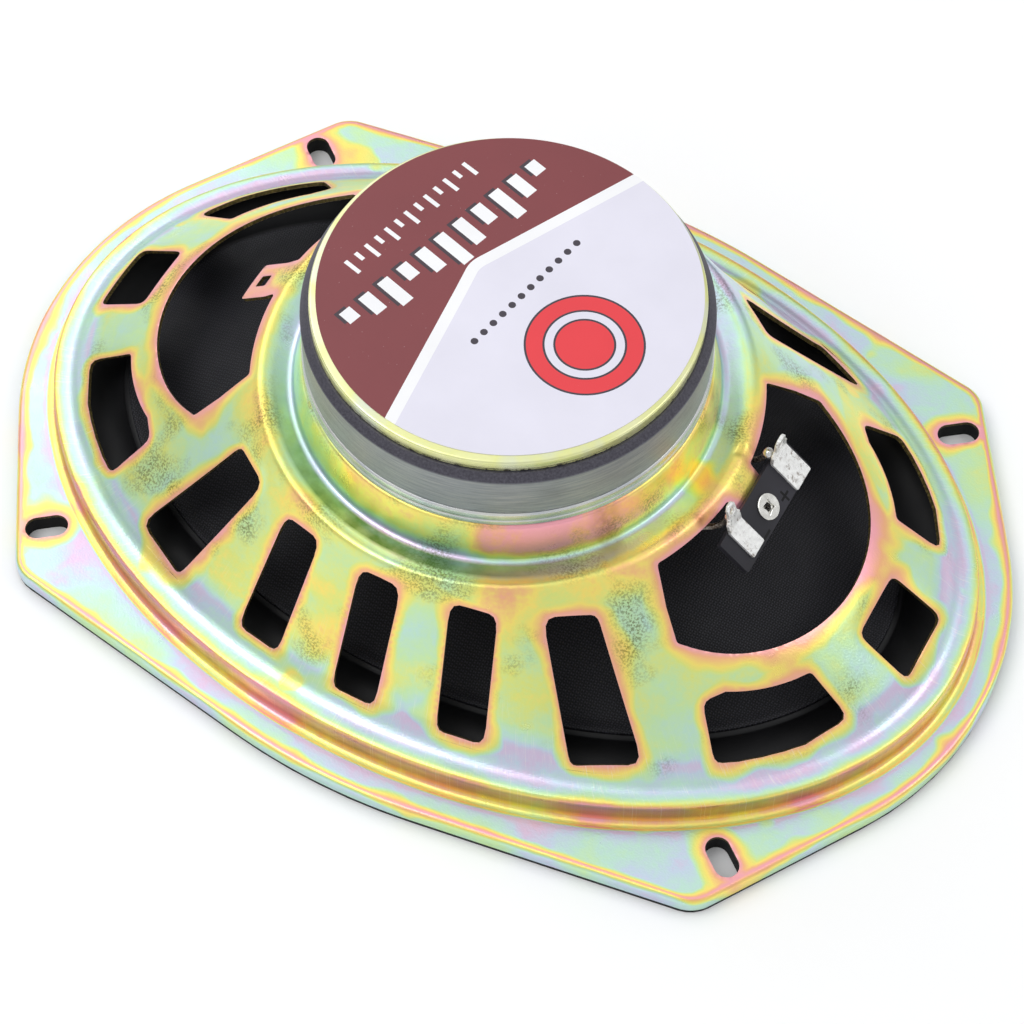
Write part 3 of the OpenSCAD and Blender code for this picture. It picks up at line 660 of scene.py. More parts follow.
def smooth_route(points, spacing=0.4):
    """A smooth curve through the points of a route, as points about spacing apart."""
    p = np.array(points, float)
    ends = np.vstack([2 * p[0] - p[1], p, 2 * p[-1] - p[-2]])
    out = []
    for i in range(1, len(ends) - 2):
        a, b, c, d = ends[i - 1:i + 3]
        count = max(2, int(np.linalg.norm(c - b) / spacing))
        for t in (k / count for k in range(count)):
            out.append(0.5 * (2 * b + (c - a) * t + (2 * a - 5 * b + 4 * c - d) * t ** 2
                              + (3 * b - a - 3 * c + d) * t ** 3))
    return out + [p[-1]]


def inside(points, outline):
    """Which of the points (n, 2) lie inside the closed outline (m, 2)."""
    p, o = np.asarray(points, float), np.asarray(outline, float)
    found = np.zeros(len(p), bool)
    for (ax, ay), (bx, by) in zip(o, np.roll(o, -1, axis=0)):
        if ay == by:
            continue
        cut = (ay > p[:, 1]) != (by > p[:, 1])
        found ^= cut & (p[:, 0] < (bx - ax) * (p[:, 1] - ay) / (by - ay) + ax)
    return found


# How far straight runs are bowed, and how near points may lie before triangulation joins them.
BOW = 0.01
JOIN = 1e-5


def densified(outline, spacing, closed=True):
    """The outline with points added so that none are further apart than spacing. Each straight run is
    bowed by a hair, because triangulation leaves slivers where points lie exactly on a line."""
    o = [np.array(p, float) for p in outline]
    out = []
    for a, b in zip(o, o[1:] + o[:1] if closed else o[1:]):
        length = float(np.linalg.norm(b - a))
        n = max(1, math.ceil(length / spacing))
        side = np.array((a[1] - b[1], b[0] - a[0])) / max(length, 1e-9)
        out += [a + (b - a) * k / n + side * BOW * math.sin(math.pi * k / n) for k in range(n)]
    return out if closed else out + [o[-1]]


def middles(points, triangles):
    return np.array([points[list(t)].mean(axis=0) for t in triangles])


def distance_tree(points):
    tree = kdtree.KDTree(len(points))
    for i, p in enumerate(points):
        tree.insert(p, i)
    tree.balance()
    return tree


def triangulated(points, lines, near):
    """Triangulates points (n, 2) with lines kept as edges: lines is a list of (points, closed).
    Points nearer than near to a line are left out. Returns the points, the triangles, and where each
    point comes from: its place in the list of the points followed by all the lines' points."""
    tree = distance_tree([(x, y, 0) for line, closed in lines
                          for x, y in densified(line, near / 2, closed)])
    source = [i for i, p in enumerate(points) if tree.find((p[0], p[1], 0))[2] > near]
    flat = [Vector((points[i][0], points[i][1])) for i in source]
    edges, start = [], len(points)
    for line, closed in lines:
        first = len(flat)
        flat += [Vector((p[0], p[1])) for p in line]
        source += range(start, start + len(line))
        start += len(line)
        edges += [(first + i, first + i + 1) for i in range(len(line) - 1)]
        if closed:
            edges.append((len(flat) - 1, first))
    verts, _, faces, origins = geometry.delaunay_2d_cdt(flat, edges, [], 0, JOIN)[:4]
    return (np.array([tuple(v) for v in verts]), [tuple(f) for f in faces],
            [source[o[0]] if o else None for o in origins])


# ---------------------------------------------------------------- basket


def oval_radius(angle, grow):
    """Radius of the raised oval, grown by grow, in direction angle."""
    return 1 / np.sqrt((np.cos(angle) / (OVAL_HALF_LENGTH + grow)) ** 2
                       + (np.sin(angle) / (OVAL_HALF_WIDTH + grow)) ** 2)


def from_oval(plan):
    """Distance of plan points (n, 2) outwards from the raised oval, along the radius."""
    return from_axis(plan) - oval_radius(np.arctan2(plan[:, 1], plan[:, 0]), 0)


def arc(x, y, radius, start, stop, count):
    return [(x + radius * math.cos(a), y + radius * math.sin(a)) for a in np.linspace(start, stop, count)]


def flange_quarter(inset):
    """One quarter of the flange's outline, moved inwards by inset: end arc, ear, long side."""
    end_x = FLANGE_HALF_LENGTH - END_RADIUS
    crest_y = FLANGE_HALF_WIDTH - CREST_RADIUS
    side = end_x * math.cos(EAR_SIDE_ANGLE) + END_RADIUS - EAR_RADIUS
    long = crest_y * math.sin(LONG_SIDE_ANGLE) + CREST_RADIUS - EAR_RADIUS
    turn = math.sin(LONG_SIDE_ANGLE - EAR_SIDE_ANGLE)
    ear_x = (side * math.sin(LONG_SIDE_ANGLE) - long * math.sin(EAR_SIDE_ANGLE)) / turn
    ear_y = (long * math.cos(EAR_SIDE_ANGLE) - side * math.cos(LONG_SIDE_ANGLE)) / turn
    end = arc(end_x, 0, END_RADIUS - inset, 0, EAR_SIDE_ANGLE, 26)
    ear = arc(ear_x, ear_y, EAR_RADIUS - inset, EAR_SIDE_ANGLE, LONG_SIDE_ANGLE, 12)
    crest = arc(0, crest_y, CREST_RADIUS - inset, LONG_SIDE_ANGLE, math.pi / 2, 16)
    bow = [2 * BOW * math.sin(math.pi * k / 13) for k in range(14)]
    slant = [(x + h * math.cos(EAR_SIDE_ANGLE), y + h * math.sin(EAR_SIDE_ANGLE))
             for (x, y), h in zip(np.linspace(end[-1], ear[0], 14), bow)][1:-1]
    straight = [(x, y + h) for (x, y), h in zip(np.linspace(ear[-1], crest[0], 14), bow)][1:-1]
    return end + slant + ear + straight + crest


# The sheet's section from the flange to the neck: how far out of the raised oval or how far from the
# axis, the height, the bend's radius and how many points run from there to the next bend.
SECTION = [
    ("oval", 2.6, FLANGE_Z, 0, 2),
    ("oval", 0.0, FLANGE_Z, 1.3, 5),
    ("oval", 0.0, LEDGE_Z, 1.2, 3),
    ("oval", -LEDGE_WIDTH, LEDGE_Z, 0.9, 2),
    ("oval", -5.5, 12.8, 0.9, 3),
    ("oval", -SHOULDER_INSET, SHOULDER_Z, 1.6, 34),
    ("axis", HUB_RADIUS, HUB_Z, 1.7, 2),
    ("axis", 50.4, 47.3, 0.9, 3),
    ("axis", 47.0, HUB_LEDGE_Z, 1.0, 1),
    ("axis", NECK_FOOT_RADIUS, HUB_LEDGE_Z + 0.3, 0.8, 7),
    ("axis", NECK_TOP_RADIUS, NECK_TOP_Z, 0.9, 4),
    ("axis", 34.0, NECK_TOP_Z, 0, 5),
    ("axis", NECK_HOLE_RADIUS, NECK_TOP_Z, 0, 0),
]
BEND_STEPS = 5
CUT_FIRST = 4
CUT_LAST = 8
# A small square mark stamped beside the terminal board's tab.
MARK = (52.5, 6.4)
MARK_HALF = 1.0
MARK_DEPTH = 0.3
MARK_WALL = 0.5
# How many times wider than a side window's the coloured halo of each kind of edge is.
HALO = {"small": 1.0, "large": 1.7, "slot": 1.3, "rim": 0.5}
GAP_LIMIT = 8.0
BURR_WIDTH = 0.16
# The sheet dips towards its windows' edges.
DIP = 0.35
DIP_REACH = 2.6


def section(angles):
    """Radii and heights of the sheet's rear face for each angle, as two arrays (angle, point), and the
    number of the point at which each bend starts."""
    angles = np.atleast_1d(angles)
    knots = [(oval_radius(angles, size) if kind == "oval" else np.full(len(angles), size),
              np.full(len(angles), z)) for kind, size, z, _, _ in SECTION]
    knots = [np.stack(k, axis=1) for k in knots]
    rows, ends = [], []
    for i, (_, _, _, bend, count) in enumerate(SECTION):
        here = knots[i]
        if bend:
            back, on = knots[i - 1] - here, knots[i + 1] - here
            back_length, on_length = np.linalg.norm(back, axis=1), np.linalg.norm(on, axis=1)
            reach = np.minimum(bend, 0.45 * np.minimum(back_length, on_length))
            a = here + back * (reach / back_length)[:, None]
            b = here + on * (reach / on_length)[:, None]
        else:
            a = b = here
        rows.append([(1 - t) ** 2 * a + 2 * t * (1 - t) * here + t * t * b
                     for t in np.linspace(0, 1, BEND_STEPS if bend else 1)])
        ends.append((a, b, count))
    out, starts = [], []
    for i, row in enumerate(rows):
        starts.append(len(out))
        out += row
        if i + 1 < len(rows):
            b, a, count = ends[i][1], ends[i + 1][0], ends[i][2]
            out += [b + (a - b) * k / (count + 1) for k in range(1, count + 1)]
    both = np.stack(out, axis=1)
    return both[:, :, 0], both[:, :, 1], starts


def tab_dip(x, y, z):
    """Height of the sheet where a tab bends down from the hub's edge."""
    plane = TAB_HOLE_Z - math.tan(TAB_SLOPE) * (np.abs(x) - TAB_HOLE_X)
    w = np.clip((np.abs(x) - TAB_ROOT_X) / TAB_BEND, 0, 1)
    w = eased(w * (np.abs(y) < TAB_HALF + 1.5) * (np.hypot(x, y) < TAB_REACH))
    return z * (1 - w) + plane * w


def stamped(x, y, z):
    """The point with the square mark's dip taken off its height."""
    aside = max(abs(x - MARK[0]), abs(y - MARK[1])) - MARK_HALF
    return x, y, z - MARK_DEPTH * min(1.0, max(0.0, 1 - aside / MARK_WALL))


def window_outlines():
    """Plan outlines of the windows that lie in the quarter x, y >= 0, corners rounded, each with
    whether it is closed and which halo it has. Open ones start and end on an axis."""
    r = WINDOW_CORNER
    second = softened([(15.4, 53.0), (25.2, 50.4), (30.2, 65.6), (19.5, 67.3)], r)
    third = softened([(33.4, 46.2), (42.7, 39.9), (61.8, 54.0), (48.2, 60.9)], r)
    reach_x, reach_y = OVAL_HALF_LENGTH - SHOULDER_INSET + 0.5, OVAL_HALF_WIDTH - SHOULDER_INSET + 0.5
    edge = [(reach_x * math.cos(a), reach_y * math.sin(a)) for a in np.radians([29, 32.5, 36, 39.5])]
    inner = arc(LARGE_X, 0, CORNER_ARC, math.radians(57), math.radians(36), 8)
    corner = softened([(94.8, 23.4), *edge, (74.6, 46.4), (67.6, 39.4), *inner, (84.15, 21.4)],
                      [r] + [0] * 4 + [r, r] + [0] * 8 + [1.2])
    middle = softened([(0, 54.8), (4.9, 54.8), (5.2, 68.7), (0, 68.7)], r, closed=False)
    end = softened([(89.2, 0), (89.2, 8.4), (101.6, 8.8), (101.6, 0)], r, closed=False)
    rim = arc(LARGE_X, 0, LARGE_RADIUS, 0, math.radians(70.5), 30)
    hub = arc(0, 0, HUB_CUT, math.radians(27.6), math.asin(TAB_HALF / HUB_CUT), 16)
    spoke = [(58.6, 34.3), (53.9, 30.6)]
    tab = [(TAB_TIP_X - 0.2, TAB_HALF), (TAB_TIP_X, 0)]
    large = softened(rim + spoke + hub + tab, [0] * 30 + [1.0, 3.0] + [1.5] + [0] * 14 + [1.3, 0.7, 0],
                     closed=False)
    half = TAB_HOLE / 2
    near, far = TAB_HOLE_X - half * 0.78, TAB_HOLE_X + half * 0.78
    hole = softened([(near, 0), (near, half), (far, half), (far, 0)], 0.3, closed=False)
    return [(second, True, "small"), (third, True, "small"), (corner, True, "small"),
            (middle, False, "small"), (end, False, "small"), (large, False, "large"), (hole, False, "small")]


def slot_outline():
    reach, r = (SLOT_LENGTH - SLOT_WIDTH) / 2, SLOT_WIDTH / 2
    c, s = math.cos(SLOT_ANGLE), math.sin(SLOT_ANGLE)
    turn = np.array(((c, -s), (s, c)))
    ends = arc(reach, 0, r, -math.pi / 2, math.pi / 2, 13) + arc(-reach, 0, r, math.pi / 2, 1.5 * math.pi, 13)
    return [tuple(turn @ np.array(p) + (SLOT_X, SLOT_Y)) for p in ends]


# The sloping wall is unrolled on a drum of this radius to cut its windows.
UNROLL_RADIUS = 80.0
# How far apart points lie on the windows' edges, on the slots' edges and on the flange's flat.
WINDOW_SPACING = 0.9
SLOT_SPACING = 0.8
FLAT_SPACING = 1.8


def sloping_quarter():
    """The band, sloping wall and hub crest of one quarter, with its windows cut out.
    Returns points, triangles, the first and last section index that it covers, and the cut edges."""
    angles = np.linspace(0, math.pi / 2, STATIONS)
    radii, heights, starts = section(angles)
    first, last = starts[CUT_FIRST] + BEND_STEPS, starts[CUT_LAST - 1]
    step = np.hypot(np.diff(radii, axis=1), np.diff(heights, axis=1)).mean(axis=0)
    along = np.concatenate([[0], np.cumsum(step)])
    reach = slice(first - 3, last + 4)

    def unrolled(points):
        """Plan points to (arc, distance along the section), and their heights."""
        p = np.array(points, float)
        a = np.arctan2(p[:, 1], p[:, 0])
        r = -np.hypot(p[:, 0], p[:, 1])
        rr, zz, _ = section(a)
        v = [np.interp(q, -row[reach], along[reach]) for q, row in zip(r, rr)]
        z = [np.interp(q, -row[reach], hz[reach]) for q, row, hz in zip(r, rr, zz)]
        return np.stack([a * UNROLL_RADIUS, v], axis=1), z

    grid = [(a * UNROLL_RADIUS, along[j]) for j in range(first, last + 1) for a in angles]
    plan = [(radii[i, j] * math.cos(a), radii[i, j] * math.sin(a), heights[i, j])
            for j in range(first, last + 1) for i, a in enumerate(angles)]
    lines, edges = [], []
    for outline, closed, kind in window_outlines():
        dense = densified(outline, WINDOW_SPACING, closed)
        flat, z = unrolled(dense)
        placed = [(x, y, h) for (x, y), h in zip(dense, z)]
        lines.append(([tuple(f) for f in flat], closed))
        edges.append((placed, kind))
    solid = ~in_any(np.array(grid) + 1e-4, lines)
    grid = [g for g, ok in zip(grid, solid) if ok]
    places = [p for p, ok in zip(plan, solid) if ok] + [p for placed, _ in edges for p in placed]
    points, triangles, source = triangulated(grid, lines, 0.42)
    gone = in_any(middles(points, triangles), lines)
    triangles = [t for t, cut in zip(triangles, gone) if not cut]
    return [places[i] for i in source], triangles, first, last, edges


def in_any(points, lines):
    """Which of the points lie inside any of the lines."""
    found = np.zeros(len(points), bool)
    for line, _ in lines:
        found |= inside(points, line)
    return found


def flat_quarter():
    """The flat of the flange in one quarter, with its slot. Returns points, triangles and the edges."""
    angles = np.linspace(0, math.pi / 2, STATIONS)
    outer = flange_quarter(RIM_BEND)
    grow = oval_radius(angles, SECTION[0][1])
    inner = list(zip(grow * np.cos(angles), grow * np.sin(angles)))
    slot = densified(slot_outline(), SLOT_SPACING)
    grid = [(i * FLAT_SPACING + (j % 2) * FLAT_SPACING / 2, j * FLAT_SPACING * 0.866)
            for j in range(60) for i in range(72)]
    on_axes = [(x, 0.0) for x in np.arange(113.6, 116.2, 0.9)] + [(0.0, y) for y in np.arange(79.8, 83, 0.9)]
    wall = outer + inner[::-1]
    sheet = inside(grid, wall) & ~inside(grid, slot)
    keep = [p for p, ok in zip(grid, sheet) if ok and min(p) > 0.6]
    points, triangles, _ = triangulated(keep + on_axes, [(outer, False), (inner, False), (slot, True)], 0.75)
    middle = middles(points, triangles)
    good = inside(middle, wall) & ~inside(middle, slot)
    triangles = [t for t, ok in zip(triangles, good) if ok]
    edges = [([(x, y, FLANGE_Z) for x, y in slot], "slot"),
             ([(x, y, FLANGE_Z) for x, y in densified(outer, 0.7, closed=False)], "rim")]
    return [(x, y, FLANGE_Z) for x, y in points], triangles, edges


def quarter_sheet():
    """The rear face of the basket in the quarter x, y >= 0: points, faces and edges with their halos."""
    points, faces = [], []

    def add(new_points, new_faces):
        first = len(points)
        points.extend(new_points)
        faces.extend(tuple(first + i for i in f) for f in new_faces)

    sloping, triangles, first, last, window_edges = sloping_quarter()
    window_tree = distance_tree([p for line, _ in window_edges for p in line])
    dips = [DIP * eased(max(0.0, 1 - window_tree.find(p)[2] / DIP_REACH)) for p in sloping]
    add([(x, y, float(tab_dip(x, y, z)) - dip) for (x, y, z), dip in zip(sloping, dips)], triangles)
    flange, triangles, flange_edges = flat_quarter()
    add(flange, triangles)
    angles = np.linspace(0, math.pi / 2, STATIONS)
    radii, heights, _ = section(angles)
    for start, stop in ((0, first), (last, radii.shape[1] - 1)):
        band = [(radii[i, j] * math.cos(a), radii[i, j] * math.sin(a), heights[i, j])
                for j in range(start, stop + 1) for i, a in enumerate(angles)]
        add(band, grid_faces(stop + 1 - start, STATIONS, closed_columns=False))
    rim = [(RIM_BEND * (1 - math.sin(t)), FLANGE_Z - RIM_BEND + RIM_BEND * math.cos(t))
           for t in np.linspace(0, math.pi / 2, 5)] + [(0, z) for z in (3.0, 2.1, RIM_Z)]
    rim = [[(x, y, z) for x, y in flange_quarter(inset)] for inset, z in rim]
    add([p for row in rim for p in row], grid_faces(len(rim), len(rim[0]), closed_columns=False))
    edges = [([(x, y, float(tab_dip(x, y, z))) for x, y, z in line], HALO[kind])
             for line, kind in window_edges + flange_edges]
    return points, faces, edges


def edge_gaps(points, edges):
    """Distance from each point to the nearest edge, measured against how wide that edge's halo is."""
    gaps = np.full(len(points), GAP_LIMIT)
    for line, width in edges:
        tree = distance_tree(line)
        gaps = np.minimum(gaps, [tree.find(p)[2] / width for p in points])
    return gaps


def basket(materials):
    """The stamped basket: one quarter of the sheet mirrored to four, then given its thickness."""
    points, faces, edges = quarter_sheet()
    gaps = edge_gaps(points, edges)
    all_points, all_faces = [], []
    for sx, sy in ((1, 1), (-1, 1), (-1, -1), (1, -1)):
        first = len(all_points)
        all_points += [stamped(sx * x, sy * y, z) for x, y, z in points]
        turned = [f[::-1] if sx * sy < 0 else f for f in faces]
        all_faces += [tuple(first + i for i in f) for f in turned]
    piece = mesh_object("basket_shell", all_points, all_faces, materials, STILL, ("basket",))
    attribute = piece.data.attributes.new("gap", "FLOAT", "POINT")
    attribute.data.foreach_set("value", np.tile(gaps, 4).astype(np.float32))
    join_points(piece)
    face_up(piece)
    # The sheared rim takes the second material, painted dark as shade, and the burr's bevel the third,
    # painted bright as a highlight.
    modify(piece, "SOLIDIFY", thickness=SHEET * MM, offset=-1, use_even_offset=True,
           use_quality_normals=True, material_offset_rim=1)
    modify(piece, "BEVEL", width=BURR_WIDTH * MM, segments=2, limit_method="ANGLE",
           angle_limit=math.radians(55), material=2)
    modify(piece, "WEIGHTED_NORMAL", keep_sharp=True, weight=50)


def join_points(piece, reach=0.004):
    """Joins points that lie on each other, and makes the faces agree on which side is out."""
    work = bmesh.new()
    work.from_mesh(piece.data)
    bmesh.ops.remove_doubles(work, verts=work.verts, dist=reach * MM)
    bmesh.ops.recalc_face_normals(work, faces=work.faces)
    work.to_mesh(piece.data)
    work.free()


def face_up(piece):
    """Turns an open sheet's faces so that most of them face up."""
    if sum(f.normal.z * f.area for f in piece.data.polygons) < 0:
        piece.data.flip_normals()


# ---------------------------------------------------------------- flat and pressed pieces


def plate(name, outline, holes, low, high, material, place=Matrix.Identity(4), marks=(), **piece):
    """A flat plate between two heights in the place's own frame. marks is a list of (outline, material
    number) printed on its upper face; later marks lie over earlier ones."""
    loops = [([tuple(p) for p in line], True) for line in [outline, *holes, *[m[0] for m in marks]]]
    points, triangles, _ = triangulated([], loops, 0.5)
    middle = middles(points, triangles)
    keep = inside(middle, outline)
    for hole in holes:
        keep &= ~inside(middle, hole)
    inks = np.zeros(len(triangles), int)
    for mark, ink in marks:
        inks[inside(middle, mark)] = ink
    used = [t for t, ok in zip(triangles, keep) if ok]
    used_points = sorted({i for t in used for i in t})
    number = {i: k for k, i in enumerate(used_points)}
    made = mesh_object(name, [place @ Vector((*points[i], high)) for i in used_points],
                       [[number[i] for i in t] for t in used], material, **piece)
    made.data.polygons.foreach_set("material_index", inks[keep].astype(np.int32))
    made.data.shade_flat()
    modify(made, "SOLIDIFY", thickness=(high - low) * MM, offset=-1)
    return made


def circle(x, y, radius, count=48):
    return arc(x, y, radius, 0, 2 * math.pi * (1 - 1 / count), count)


def bar(x, y, angle, length, width):
    """A rectangle's corners, its length lying in direction angle."""
    c, s = math.cos(angle), math.sin(angle)
    a, b = length / 2, width / 2
    return [(x + c * u - s * v, y + s * u + c * v) for u, v in ((-a, -b), (a, -b), (a, b), (-a, b))]


def pressed_strip(name, outline, holes, route, thickness, place, material, **piece):
    """A strip bent along a route. The outline is drawn as (distance along the route, distance across);
    the route runs in the place's X-Z plane, through the middle of the strip's thickness."""
    steps = np.concatenate([[0], np.cumsum(np.linalg.norm(np.diff(np.array(route), axis=0), axis=1))])
    flat = densified(outline, 0.45)
    cuts = [densified(h, 0.45) for h in holes]
    low, high = np.min(flat, axis=0), np.max(flat, axis=0)
    grid = [(s, w) for s in np.arange(low[0], high[0], 0.4) for w in np.arange(low[1], high[1], 0.55)]
    grid = [p for p, ok in zip(grid, inside(grid, flat)) if ok and not any(inside([p], c)[0] for c in cuts)]
    points, triangles, _ = triangulated(grid, [(line, True) for line in [flat, *cuts]], 0.22)
    middle = middles(points, triangles)
    keep = inside(middle, flat)
    for cut in cuts:
        keep &= ~inside(middle, cut)
    along, height = zip(*route)
    bent = [(np.interp(s, steps, along), w, np.interp(s, steps, height)) for s, w in points]
    made = mesh_object(name, [place @ Vector(p) for p in bent],
                       [t for t, ok in zip(triangles, keep) if ok], material, **piece)
    face_up(made)
    modify(made, "SOLIDIFY", thickness=thickness * MM, offset=0, use_even_offset=True)
    rounded_edges(made, 0.14, 2, 50)


def oval_loft(name, rings, material, body, node, steps=256):
    """A closed piece lofted through rings, each a function of the angle giving radius and height."""
    turn = np.linspace(0, 2 * math.pi, steps, endpoint=False)
    points = []
    for ring in rings:
        radius, height = ring(turn)
        points += [(r * math.cos(a), r * math.sin(a), height) for r, a in zip(radius, turn)]
    faces = grid_faces(len(rings), steps, closed_rows=True)
    return mesh_object(name, points, faces, material, body, (node,))


def oval_ring(grow, height):
    return lambda turn: (oval_radius(turn, grow), height)


# ---------------------------------------------------------------- motor

# Turned pieces with no hole start this far from the axis.
AXIS = 0.02
GAP_RADIUS = 16.6
POLE_RADIUS = 14.8
MAGNET_HOLE = 21.0
VENT_RADIUS = 2.5
VENT_FLOOR_Z = 65.0
GROOVE_Z = 57.8
GROOVE_HALF = 0.2
GROOVE_DEPTH = 0.3


def motor(m):
    """Top plate with its groove, magnet with its chamfer, back plate with the pole."""
    edge = 0.35
    rim = TOP_PLATE_RADIUS
    lathe("top_plate_ring", softened([
        (GAP_RADIUS, NECK_TOP_Z), (rim - edge, NECK_TOP_Z), (rim, NECK_TOP_Z + edge),
        (rim, GROOVE_Z - GROOVE_HALF), (rim - GROOVE_DEPTH, GROOVE_Z), (rim, GROOVE_Z + GROOVE_HALF),
        (rim, MAGNET_Z - edge), (rim - edge, MAGNET_Z), (GAP_RADIUS, MAGNET_Z)], 0.2, 3),
        m["silver_plate"], "top_plate")
    lathe("magnet_ring", softened([
        (MAGNET_HOLE, MAGNET_Z), (MAGNET_RADIUS - 0.4, MAGNET_Z), (MAGNET_RADIUS, MAGNET_Z + 0.4),
        (MAGNET_RADIUS, MAGNET_CHAMFER_Z), (MAGNET_RADIUS - MAGNET_CHAMFER, BACK_PLATE_Z),
        (MAGNET_HOLE, BACK_PLATE_Z)], 0.2, 4),
        m["ferrite"], "ferrite_magnet")
    lathe("back_plate_turned", softened([
        (AXIS, VENT_FLOOR_Z), (VENT_RADIUS, VENT_FLOOR_Z), (VENT_RADIUS, NECK_TOP_Z),
        (POLE_RADIUS, NECK_TOP_Z), (POLE_RADIUS, BACK_PLATE_Z), (BACK_PLATE_RADIUS - 0.2, BACK_PLATE_Z),
        (BACK_PLATE_RADIUS, BACK_PLATE_Z + 0.3), (BACK_PLATE_RADIUS, BACK_PLATE_TOP),
        (AXIS, BACK_PLATE_TOP)], [0, 0, 0, 0.4, 0, 0, 0.2, 0.6, 0], 5),
        m["pale_zinc"], "back_plate")


# The label's graphics, in plan. The dividing line runs straight, turns and runs straight again.
DIVIDE = [(-6.4, -45.0), (-7.1, -38.2), (-10.1, -4.4), (-10.9, 3.4), (-8.8, 7.3), (8.8, 40.8), (10.4, 44.0)]
DIVIDE_BENDS = [0, 0, 6, 9, 6, 0, 0]
# The maroon field is drawn out to here and cut off by the label's rim.
PAST_LABEL = 60.0
STRIPE = 2.5
TITLE = ((-8.0, 30.6), (-23.0, -21.0), (3.6, 6.2, 8.6, 5.4, 7.4, 9.2, 6.6, 4.2, 7.8, 5.6, 3.4))
TITLE_SHADOW = 0.75
SUBTITLE = ((-22.6, 24.6), (-31.4, -9.4), (4.2, 2.4) * 6 + (4.2,))
ICON = (19.6, -3.6)
# The icon's rings, each with its outer and inner radius, and the width of their outlines.
ICON_RINGS = ((12.4, 8.6), (6.4, 0))
ICON_LINE = 0.45
DOTS_START = (6.2, 18.2)
DOTS_END = (-0.4, -13.6)
DOT_COUNT = 12
DOT_RADIUS = 0.8


def row_of_bars(start, end, heights, width, drop=0.0):
    """Upright bars standing along a line, their feet on one side; drop moves them aside for a shadow."""
    start, end = np.array(start), np.array(end)
    along = (end - start) / np.linalg.norm(end - start)
    up = np.array((-along[1], along[0]))
    angle = math.atan2(up[1], up[0])
    bars = []
    for k, height in enumerate(heights):
        foot = start + (end - start) * k / (len(heights) - 1) - up * max(heights) / 2
        x, y = foot + up * height / 2 + drop * (along - up)
        bars.append(bar(x, y, angle, height, width))
    return bars


def label(m):
    """The printed label: a maroon field, a white stripe, a pale field, and plain generic marks."""
    rim = [(x, y + LABEL_SHIFT) for x, y in circle(0, 0, LABEL_RADIUS, 240)]
    divide = softened(DIVIDE, DIVIDE_BENDS, 6, closed=False)
    ahead = np.gradient(np.array(divide), axis=0)
    ahead /= np.linalg.norm(ahead, axis=1)[:, None]
    shifted = [(x + STRIPE * a[1], y - STRIPE * a[0]) for (x, y), a in zip(divide, ahead)]
    pale, maroon, white, shadow, red, outline = range(6)
    marks = [(divide + [(-PAST_LABEL, 44), (-PAST_LABEL, -45)], maroon), (divide + shifted[::-1], white)]
    marks += [(b, shadow) for b in row_of_bars(*TITLE, 3.0, TITLE_SHADOW)]
    marks += [(b, white) for b in row_of_bars(*TITLE, 2.9) + row_of_bars(*SUBTITLE, 0.95)]
    for radii in ICON_RINGS:
        for radius, ink in zip(radii, (red, pale)):
            if radius:
                marks += [(circle(*ICON, radius, 72), outline), (circle(*ICON, radius - ICON_LINE, 72), ink)]
    dots = np.linspace(DOTS_START, DOTS_END, DOT_COUNT)
    marks += [(circle(x, y, DOT_RADIUS, 16), outline) for x, y in dots]
    inks = ["label_pale", "label_maroon", "label_white", "label_shadow", "label_red", "label_outline"]
    plate("label_disc", rim, [], BACK_PLATE_TOP, LABEL_TOP, [m[i] for i in inks], marks=marks,
          replaces=("magnet_label",), slot="label_print")


# ---------------------------------------------------------------- terminals

TAB = Matrix.Translation((TAB_HOLE_X, 0, TAB_HOLE_Z)) @ Matrix.Rotation(TAB_SLOPE, 4, "Y")
BOARD_X = (-5.0, 4.0)
BOARD_Y = 15.0
RIVET_SHANK = 1.5
RIVET_HEAD = 2.9
RIVET_HEAD_THICKNESS = 0.5
RIVET_BORE = 1.0
# The star punched in the rivet's head: radii of its points and of the notches between them.
STAR_RADII = (1.7, 0.95)
STRIP_START = -4.6
# Plus and minus, as bars on the board: place, direction, length and width.
SIGNS = [(2.2, 5.0, 0, 2.9, 0.55), (2.2, 5.0, math.pi / 2, 2.9, 0.55), (3.2, -5.1, math.pi / 2, 2.9, 0.6)]
SOLDER_PLACE = (57.4, 9, 46.6)
SOLDER_RADIUS = 1.25
# Route of the positive lead from its lug to the cone, and where it starts and stops to bend. The
# negative one mirrors it.
LEAD_ROUTE = [(57, 9, 46.6), (56.6, 9, 45.2), (55.9, 9.1, 43.4), (54, 9.4, 41), (50.5, 10, 38.8),
              (47, 10.6, 37.4), (43, 10.9, 36.8), (39, 10.9, 36.8), (36, 10.8, 36.2), (33.6, 10.6, 34.8),
              (32.3, 10.5, 32.9), (32, 10.5, 31.8), (32, 10.5, 30.7)]
LEAD_BEND = ((52, 9.7, 40), (34, 10.6, 35))
LEAD_RADIUS = 0.7


